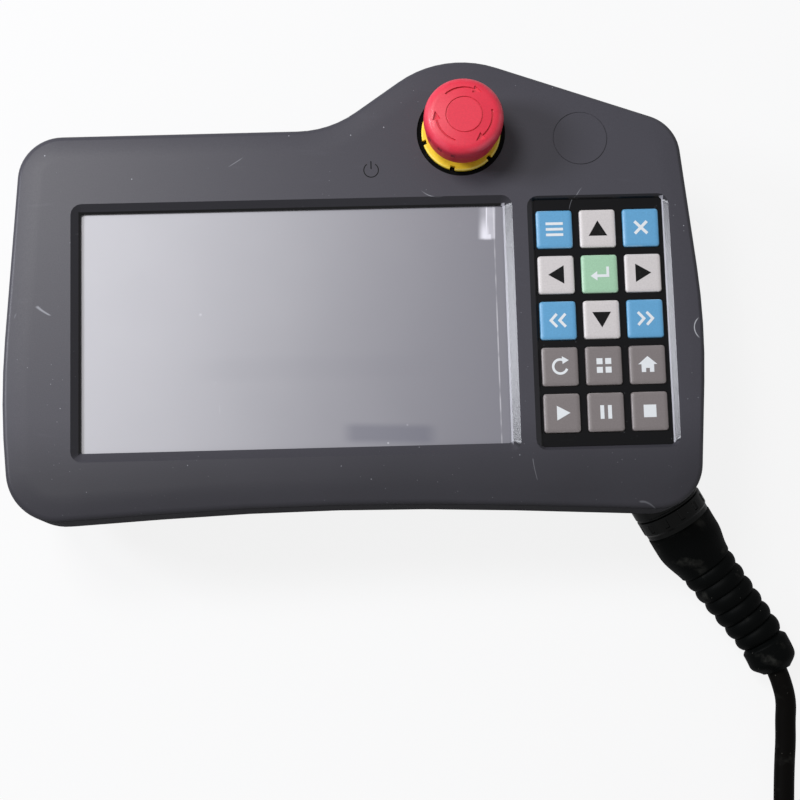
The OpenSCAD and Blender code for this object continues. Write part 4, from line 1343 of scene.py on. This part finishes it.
@dataclass
class CableRun:
    """The free cable: from the boot down to the floor, a stored coil, and its connector.

    Args:
        diameter: the cable's diameter.
        length: its real length; not used.
        lead: how far it runs straight out of the boot.
        bend: its next point, in millimetres from the boot's end.
        run: the points of its way to the coil, in millimetres.
        coil_centre: the middle of the coil.
        radii: the radii of its turns.
        turns: how many turns it has.
        rings_a_turn: how many points there are in each.
        slots: the radius and the layer of each turn, by number.
        shift: where in a turn its move to the next radius starts, and the share that it takes.
        climb: the same for its move to the next layer.
        tail: the points from the coil to the connector, in millimetres.
    """

    diameter: float = 8 * MM
    length: float = 3.0
    lead: float = 5 * MM
    bend: Point = (3, -11.5, -1.3)
    run: Sequence[Point] = (
        (162, -164, 7.6), (161.9, -171, 6.4), (161.3, -179, 5.4), (160.7, -188, 4.6),
        (160.2, -198, 4.1), (160, -208, 4), (160, -218, 4), (160, -228, 4), (160, -238, 4),
        (160, -247, 4), (160, -254, 4))
    coil_centre: Pair = (108 * MM, -260 * MM)
    radii: tuple[float, ...] = (36 * MM, 44 * MM, 52 * MM)
    turns: float = 10.25
    rings_a_turn: int = 40
    slots: Sequence[tuple[int, int]] = (
        (2, 0), (1, 0), (0, 0), (0, 1), (1, 1), (2, 1), (2, 2), (1, 2), (0, 2), (0, 3), (1, 3))
    shift: Pair = (0.5, 0.48)
    climb: Pair = (0.62, 0.2)
    tail: Sequence[Point] = (
        (98, -304, 28), (88, -304, 28), (78, -304, 27.6), (68, -304, 26), (58, -304, 22.8),
        (48, -304, 18.6), (39, -304, 15), (31, -304, 13), (23, -304, 13))

    @staticmethod
    def ease(share: float, start: float, span: float) -> float:
        """Rises smoothly from 0 to 1 over a span of a turn."""
        part = min(1.0, max(0.0, (share - start) / span))
        return part * part * (3 - 2 * part)

    def coil(self) -> list[Point]:
        """Winds the turns clockwise, from the outside of the lowest layer to the top.

        Returns:
            Their points.
        """
        points = []
        for i in range(int(self.turns * self.rings_a_turn) + 1):
            turn, share = divmod(i / self.rings_a_turn, 1)
            here, after = self.slots[int(turn)], self.slots[min(int(turn) + 1, len(self.slots) - 1)]
            out, up = self.ease(share, *self.shift), self.ease(share, *self.climb)
            r = self.radii[here[0]] * (1 - out) + self.radii[after[0]] * out
            layer = here[1] * (1 - up) + after[1] * up
            angle = -2 * math.pi * i / self.rings_a_turn
            points.append((self.coil_centre[0] + r * math.cos(angle),
                           self.coil_centre[1] + r * math.sin(angle),
                           self.diameter * (layer + 0.5)))
        return points

    def route(self, exit_at: Point, heading: Vector) -> list[Point]:
        """The whole route, from the boot's end to the connector.

        Args:
            exit_at: the middle of the boot's end face.
            heading: the direction that the cable leaves it in.

        Returns:
            Its points.
        """
        start = Vector(exit_at)
        first = [start, start + heading * self.lead, start + Vector(self.bend) * MM]
        run, tail = ([tuple(c * MM for c in p) for p in part] for part in (self.run, self.tail))
        return [*(tuple(p) for p in first), *run, *self.coil(), *tail]

    def build(self, exit_at: Point, heading: Vector, pins: bpy.types.Object) -> None:
        """Args:
            exit_at: the middle of the boot's end face.
            heading: the direction that the cable leaves it in.
            pins: the connector's pins; not used.
        """
        curve = path_curve("CableRun", self.route(exit_at, heading), self.diameter / 2)
        piece = settle(piece_of("CableRun", curve), Paint.JACKET, ROOT,
                       "cable", "cable_tail", "cable_coil")


# ==== sub-assemblies ====

@dataclass
class Housing:
    """Both shells, their gasket, screws and feet, and the printed power sign.

    Args:
        face: the height of the front face.
        power_at: the place of the power sign.
    """

    face: float
    power_at: Pair = (7.6 * MM, 43.3 * MM)

    def build(self) -> None:
        """Dresses the shells and prints the sign."""
        merged_copy("FrontHousing", "front_housing", Paint.SHELL, ROOT, 24)
        merged_copy("RearHousing", "rear_housing", Paint.SHELL, ROOT, 24)
        Paint.SHELL.dress(NODES["bay_cover"])
        Paint.RUBBER.dress(NODES["housing_gasket"], NODES["rubber_feet"])
        Paint.STEEL.dress(NODES["case_screws"], NODES["cover_screws"])
        pen = Pen((*self.power_at, self.face))
        pen.arc(2.7, 125, 415, 0.35, 40)
        pen.bar(0, 1.9, 0.4, 3.0)
        pen.piece("PowerSign", Paint.BLACK_INK, ROOT)


@dataclass
class Display:
    """Touch panel, display module, its frame and the main board."""

    def build(self) -> None:
        """Dresses the pieces."""
        Paint.SCREEN.dress(NODES["touch_panel"])
        Paint.RUBBER.dress(NODES["screen_gasket"])
        Paint.FRAME_STEEL.dress(NODES["lcd_module"], NODES["lcd_bracket"])
        Paint.BOARD.dress(NODES["main_board"])
        Paint.BRASS.dress(NODES["board_spacers"])
        Paint.STEEL.dress(NODES["board_screws"])


@dataclass
class Keypad:
    """Fifteen keys with their signs, the black plate, the dome mat and the board.

    Args:
        paints: the keys of each colour.
    """

    paints: dict[Paint, tuple[Symbol, ...]] = field(default_factory=lambda: {
        Paint.KEY_BLUE: (Symbol.MENU, Symbol.ESCAPE, Symbol.PREVIOUS, Symbol.NEXT),
        Paint.KEY_PALE: (Symbol.UP, Symbol.DOWN, Symbol.LEFT, Symbol.RIGHT),
        Paint.KEY_GREEN: (Symbol.ENTER,),
        Paint.KEY_DARK: (Symbol.AUTO, Symbol.MODE, Symbol.HOME, Symbol.RUN, Symbol.PAUSE,
                         Symbol.STOP)})

    def key(self, symbol: Symbol, paint: Paint) -> None:
        """Dresses a key and prints its sign on the flat of its cap.

        Args:
            symbol: the sign.
            paint: the key's finish.
        """
        node = "key_" + symbol.value
        merged_copy("Cap_" + symbol.value, node, paint, node, 40)
        low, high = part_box(node)
        pen = Pen(((low[0] + high[0]) / 2, (low[1] + high[1]) / 2, high[2]))
        symbol.draw(pen)
        ink = Paint.BLACK_INK if paint is Paint.KEY_PALE else Paint.WHITE_INK
        pen.piece("Sign_" + symbol.value, ink, node)

    def build(self) -> None:
        """Dresses the keypad and its keys."""
        for paint, symbols in self.paints.items():
            for symbol in symbols:
                self.key(symbol, paint)
        Paint.PLATE.dress(NODES["keypad_plate"])
        Paint.RUBBER.dress(NODES["key_dome_mat"])
        Paint.BOARD.dress(NODES["keypad_board"])


@dataclass
class StopSwitch:
    """Emergency stop: the red mushroom, its yellow ring and what is behind them."""

    def build(self) -> None:
        """Dresses the switch."""
        merged_copy("StopHead", "estop_head", Paint.STOP_RED, "estop_head")
        merged_copy("StopRing", "estop_collar", Paint.COLLAR, ROOT)
        Paint.RUBBER.dress(NODES["estop_seal"])
        Paint.INNER.dress(NODES["estop_plunger"], NODES["estop_contact_block"])
        Paint.STEEL.dress(NODES["estop_nut"])


@dataclass
class EnablingSwitch:
    """Three-position switch in the ridge of the hand grip, with grip ribs on its button.

    Args:
        ribs: how many ribs there are.
        pitch: the distance between them.
        width: a rib's width.
        height: its height.
        sunk: how far its middle lies in the button.
    """

    ribs: int = 11
    pitch: float = 2.6 * MM
    width: float = 0.9 * MM
    height: float = 4.2 * MM
    sunk: float = 0.3 * MM

    def grip_ribs(self) -> bpy.types.Object:
        """Short upright ribs in a row along the button's face.

        Returns:
            The ribs, as one piece.
        """
        low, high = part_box("enable_button")
        first = (low[1] + high[1]) / 2 - self.pitch * (self.ribs - 1) / 2
        p = Pattern("GripRibs", {"Count": self.ribs, "Pitch": self.pitch, "Width": self.width,
                                 "Height": self.height})
        step = p.node("ShaderNodeCombineXYZ", sockets={"Y": p.size("Pitch")})
        line = p.node("GeometryNodeMeshLine", sockets={
            "Count": p.size("Count"), "Offset": step.outputs[0],
            "Start Location": (high[0] - self.sunk, first, (low[2] + high[2]) / 2)})
        rows = p.node("GeometryNodeInstanceOnPoints", sockets={
            "Points": line.outputs[0],
            "Instance": p.rod(12, p.size("Width") * 0.5, p.size("Height"))})
        return p.bake("GripRibs", rows.outputs[0], Paint.RUBBER, "enable_button")

    def build(self) -> None:
        """Dresses the switch and adds the ribs."""
        merged_copy("EnableButton", "enable_button", Paint.INNER, "enable_button", 40)
        self.grip_ribs()
        Paint.INNER.dress(NODES["enable_bezel"], NODES["enable_switch"])


@dataclass
class HandStrap:
    """Padded webbing band round two pins, stitched along both edges of its pad.

    Args:
        pin_height: the height of the pins' axes.
        pin_reach: their distance from the middle of the band.
        sag: how far the band hangs below them.
        pad_half: half the pad's length.
        pad_thick: the pad's thickness.
        inset: how far the seams lie from the band's edges.
        stitch: the length of a stitch.
        pitch: the distance from one stitch to the next.
        thread: the thread's radius.
    """

    pin_height: float = 8.5 * MM
    pin_reach: float = 40 * MM
    sag: float = 4.2 * MM
    pad_half: float = 26 * MM
    pad_thick: float = 4 * MM
    inset: float = 2.4 * MM
    stitch: float = 2.4 * MM
    pitch: float = 3.4 * MM
    thread: float = 0.32 * MM

    def height(self, along: float, offset: float) -> float:
        """The height at a distance from the band's middle, an offset below its centre line."""
        r = (self.pin_reach ** 2 + self.sag ** 2) / (2 * self.sag)
        return self.pin_height - self.sag + r - math.sqrt((r + offset) ** 2 - along ** 2)

    def seam(self, name: str, x: float, middle: float, offset: float) -> bpy.types.Object:
        """A row of stitches along the pad.

        Args:
            name: the piece's name.
            x: where the row lies across the band.
            middle: the middle of the band.
            offset: how far below the band's centre line the row lies.

        Returns:
            The stitches, as one piece.
        """
        steps = 24
        spans = [self.pad_half * (2 * i / steps - 1) for i in range(steps + 1)]
        path = path_curve(name, [(x, middle + d, self.height(d, offset)) for d in spans])
        p = Pattern("Stitches", {"Pitch": self.pitch, "Length": self.stitch, "Thread": self.thread})
        places = p.node("GeometryNodeCurveToPoints", {"mode": "LENGTH"}, {
            "Curve": p.start.outputs[0], "Length": p.size("Pitch")})
        rows = p.node("GeometryNodeInstanceOnPoints", sockets={
            "Points": places.outputs["Points"], "Rotation": places.outputs["Rotation"],
            "Instance": p.rod(8, p.size("Thread"), p.size("Length"))})
        return p.bake(name, rows.outputs[0], Paint.THREAD, ROOT, path)

    def build(self) -> None:
        """Dresses the band and its pins, and stitches the pad."""
        merged_copy("StrapBand", "hand_strap", Paint.WEBBING, ROOT, 40)
        Paint.STEEL.dress(NODES["strap_pins"])
        low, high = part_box("hand_strap")
        middle = (low[1] + high[1]) / 2
        for side, x in (("Left", low[0] + self.inset), ("Right", high[0] - self.inset)):
            for face, offset in (("Under", self.pad_thick / 2), ("Palm", -self.pad_thick / 2)):
                self.seam(f"Stitches{side}{face}", x, middle, offset)


@dataclass
class CableEntry:
    """Gland, nut and the ribbed boot at the lower right corner; the boot's sizes are in millimetres.

    Args:
        collar_end: the middle of the gland's end face, in metres.
        turns: the boot's heading in degrees about Z, at distances along it.
        dips: how far it heads down, in degrees, at distances along it.
        length: its length.
        base_radius: its radius at the gland.
        lip: the length and depth of the rounding there.
        skirt: the length of the plain part that covers the gland.
        fall: where the skirt starts to narrow, and by how much.
        ribs: how many ribs it has.
        rib_depth: how deep the grooves are.
        rib_shape: the power that makes the ribs broad and the grooves narrow.
        taper: how much each rib is smaller than the one before.
        collar: the length of the plain part at its end.
        collar_radius: that part's radius.
        heel: the length and depth of its start's slope.
        nose: the length and depth of its end's rounding.
    """

    collar_end: Point = (122.204 * MM, -87.198 * MM, 19.678 * MM)
    turns: Sequence[Pair] = ((0, -59), (4, -59), (16, -53.5), (50, -54), (69, -72))
    dips: Sequence[Pair] = ((0, 13), (4, 13), (69, 2))
    length: float = 69
    base_radius: float = 13.05
    lip: Pair = (0.9, 0.5)
    skirt: float = 20
    fall: Pair = (8, 2.3)
    ribs: int = 6
    rib_depth: float = 1.35
    rib_shape: float = 0.55
    taper: float = 0.26
    collar: float = 13
    collar_radius: float = 9.2
    heel: Pair = (2.4, 1.8)
    nose: Pair = (6, 4.2)

    @staticmethod
    def lookup(along: float, table: Sequence[Pair]) -> float:
        """Reads a table between its rows.

        Args:
            along: the distance along the boot.
            table: distances and angles.

        Returns:
            The angle there.
        """
        for (start, first), (end, last) in zip(table, table[1:]):
            if along <= end:
                return first + (last - first) * (along - start) / (end - start)
        return table[-1][1]

    def heading(self, along: float) -> Vector:
        """Which way the boot runs.

        Args:
            along: the distance along it.

        Returns:
            Its direction there.
        """
        turn, dip = (math.radians(self.lookup(along, table)) for table in (self.turns, self.dips))
        flat = math.cos(dip)
        return Vector((flat * math.cos(turn), flat * math.sin(turn), -math.sin(dip)))

    def centre_line(self, steps: int = 50) -> list[Vector]:
        """The boot's centre line.

        Args:
            steps: how many parts it has.

        Returns:
            Its points in metres, from the gland to the boot's end.
        """
        points, step = [Vector(self.collar_end)], self.length / steps
        for i in range(steps):
            points.append(points[-1] + self.heading((i + 0.5) * step) * step * MM)
        return points

    def radius(self, p: Pattern) -> Wave:
        """The boot's radius along its centre line: a skirt, ribs between grooves and an end collar.

        Args:
            p: the boot's tree.

        Returns:
            The radius in metres.
        """
        def rise(low: float, high: float) -> Wave:
            """Rises from 0 to 1 between two distances along the boot."""
            return along.step(low * MM, high * MM)

        along = Wave(p, p.node("GeometryNodeSplineParameter").outputs["Length"])
        ribs_end = self.length - self.collar
        phase = (along - p.size("Skirt")) / p.size("Rib Pitch")
        crest = abs((phase * math.pi).sine()).power(self.rib_shape)
        zone = rise(self.skirt - 0.8, self.skirt + 0.4) * rise(ribs_end + 0.4, ribs_end - 0.4)
        groove = (1 - crest) * zone * p.size("Rib Depth")
        fall = rise(self.fall[0], self.skirt + 0.5) * (self.fall[1] * MM)
        lip = rise(self.lip[0], 0) * (self.lip[1] * MM)
        ribbed = p.size("Base Radius") - fall - phase.over(0) * p.size("Taper") - groove - lip
        heel = rise(ribs_end + self.heel[0], ribs_end) * (self.heel[1] * MM)
        nose = rise(self.length - self.nose[0], self.length + 1).power(2) * (self.nose[1] * MM)
        end = p.size("Collar Radius") - heel - nose
        return ribbed + rise(ribs_end - 0.3, ribs_end + 0.3) * (end - ribbed)

    def boot(self) -> bpy.types.Object:
        """A round skin along the bent centre line.

        Returns:
            The boot.
        """
        pitch = (self.length - self.skirt - self.collar) / self.ribs
        p = Pattern("RibbedBoot", {
            "Base Radius": self.base_radius * MM, "Rib Pitch": pitch * MM,
            "Rib Depth": self.rib_depth * MM, "Taper": self.taper * MM, "Skirt": self.skirt * MM,
            "Collar Radius": self.collar_radius * MM, "Rings": 230, "Sides": 64})
        line = p.node("GeometryNodeResampleCurve", sockets={
            "Curve": p.start.outputs[0], "Count": p.size("Rings")})
        ring = p.node("GeometryNodeCurvePrimitiveCircle", sockets={
            "Resolution": p.size("Sides"), "Radius": 1.0})
        skin = p.node("GeometryNodeCurveToMesh", sockets={
            "Curve": line.outputs[0], "Profile Curve": ring.outputs[0], "Scale": self.radius(p),
            "Fill Caps": True})
        path = path_curve("BootLine", [tuple(q) for q in self.centre_line()])
        piece = p.bake("CableBoot", skin.outputs[0], Paint.RUBBER, ROOT, path, 60)
        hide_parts("cable_boot")
        return piece

    def build(self) -> None:
        """Dresses the gland and its nut, and makes the boot."""
        merged_copy("GlandCollar", "cable_gland", Paint.GLAND, ROOT, 30)
        self.boot()
        Paint.BRASS.dress(NODES["gland_nut"])


@dataclass
class Connector:
    """The coil's tie and the connector on the cable's end, with brass pins in its insert.

    Args:
        face: the middle of the insert's face.
        columns: how many pins a row has.
        pitch: the distance between them.
        rows: the distance between the two rows.
        pin_radius: a pin's radius.
        pin_length: its length.
        pin_sunk: how far its middle lies behind the face.
    """

    face: Point = (-37 * MM, -304 * MM, 13 * MM)
    columns: int = 5
    pitch: float = 5 * MM
    rows: float = 9.2 * MM
    pin_radius: float = 0.75 * MM
    pin_length: float = 4.6 * MM
    pin_sunk: float = 2.6 * MM

    def pins(self) -> bpy.types.Object:
        """Two rows of pins in the insert's holes.

        Returns:
            The pins, as one piece.
        """
        p = Pattern("ConnectorPins", {
            "Columns": self.columns, "Rows": 2, "Row Length": (self.columns - 1) * self.pitch,
            "Row Distance": self.rows, "Pin Radius": self.pin_radius,
            "Pin Length": self.pin_length})
        grid = p.node("GeometryNodeMeshGrid", sockets={
            "Size X": p.size("Row Length"), "Size Y": p.size("Row Distance"),
            "Vertices X": p.size("Columns"), "Vertices Y": p.size("Rows")})
        placed = p.node("GeometryNodeInstanceOnPoints", sockets={
            "Points": grid.outputs[0],
            "Instance": p.rod(16, p.size("Pin Radius"), p.size("Pin Length"))})
        real = p.node("GeometryNodeRealizeInstances", sockets={0: placed.outputs[0]})
        stood = p.node("GeometryNodeTransform", sockets={
            "Geometry": real.outputs[0],
            "Rotation": Matrix(((0, 0, -1), (1, 0, 0), (0, -1, 0))).to_euler(),
            "Translation": Vector(self.face) + Vector((self.pin_sunk, 0, 0))})
        return p.bake("ConnectorPins", stood.outputs[0], Paint.BRASS, ROOT)

    def build(self) -> bpy.types.Object:
        """Dresses the pieces.

        Returns:
            The connector's pins.
        """
        Paint.WEBBING.dress(NODES["coil_tie"])
        Paint.HOOD.dress(NODES["connector_hood"])
        Paint.INSERT.dress(NODES["connector_insert"])
        return self.pins()


def main() -> None:
    """Builds the studio and the cable, then each sub-assembly, and logs every piece."""
    logging.basicConfig(level=logging.INFO, format="%(message)s", stream=sys.stdout)
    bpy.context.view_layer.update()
    low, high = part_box("touch_panel")
    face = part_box("key_menu")[1][2] + 0.5 * MM
    Studio(((low[0] + high[0]) / 2, (low[1] + high[1]) / 2), face).build()
    LOG.info("The cable and its connector")
    entry = CableEntry()
    end = tuple(entry.centre_line()[-1])
    CableRun().build(end, entry.heading(entry.length), Connector().build())
    for part in (entry, Housing(face), Display(), Keypad(), StopSwitch(), EnablingSwitch(),
                 HandStrap()):
        LOG.info("%s", type(part).__name__)
        part.build()


if __name__ == "__main__":
    main()
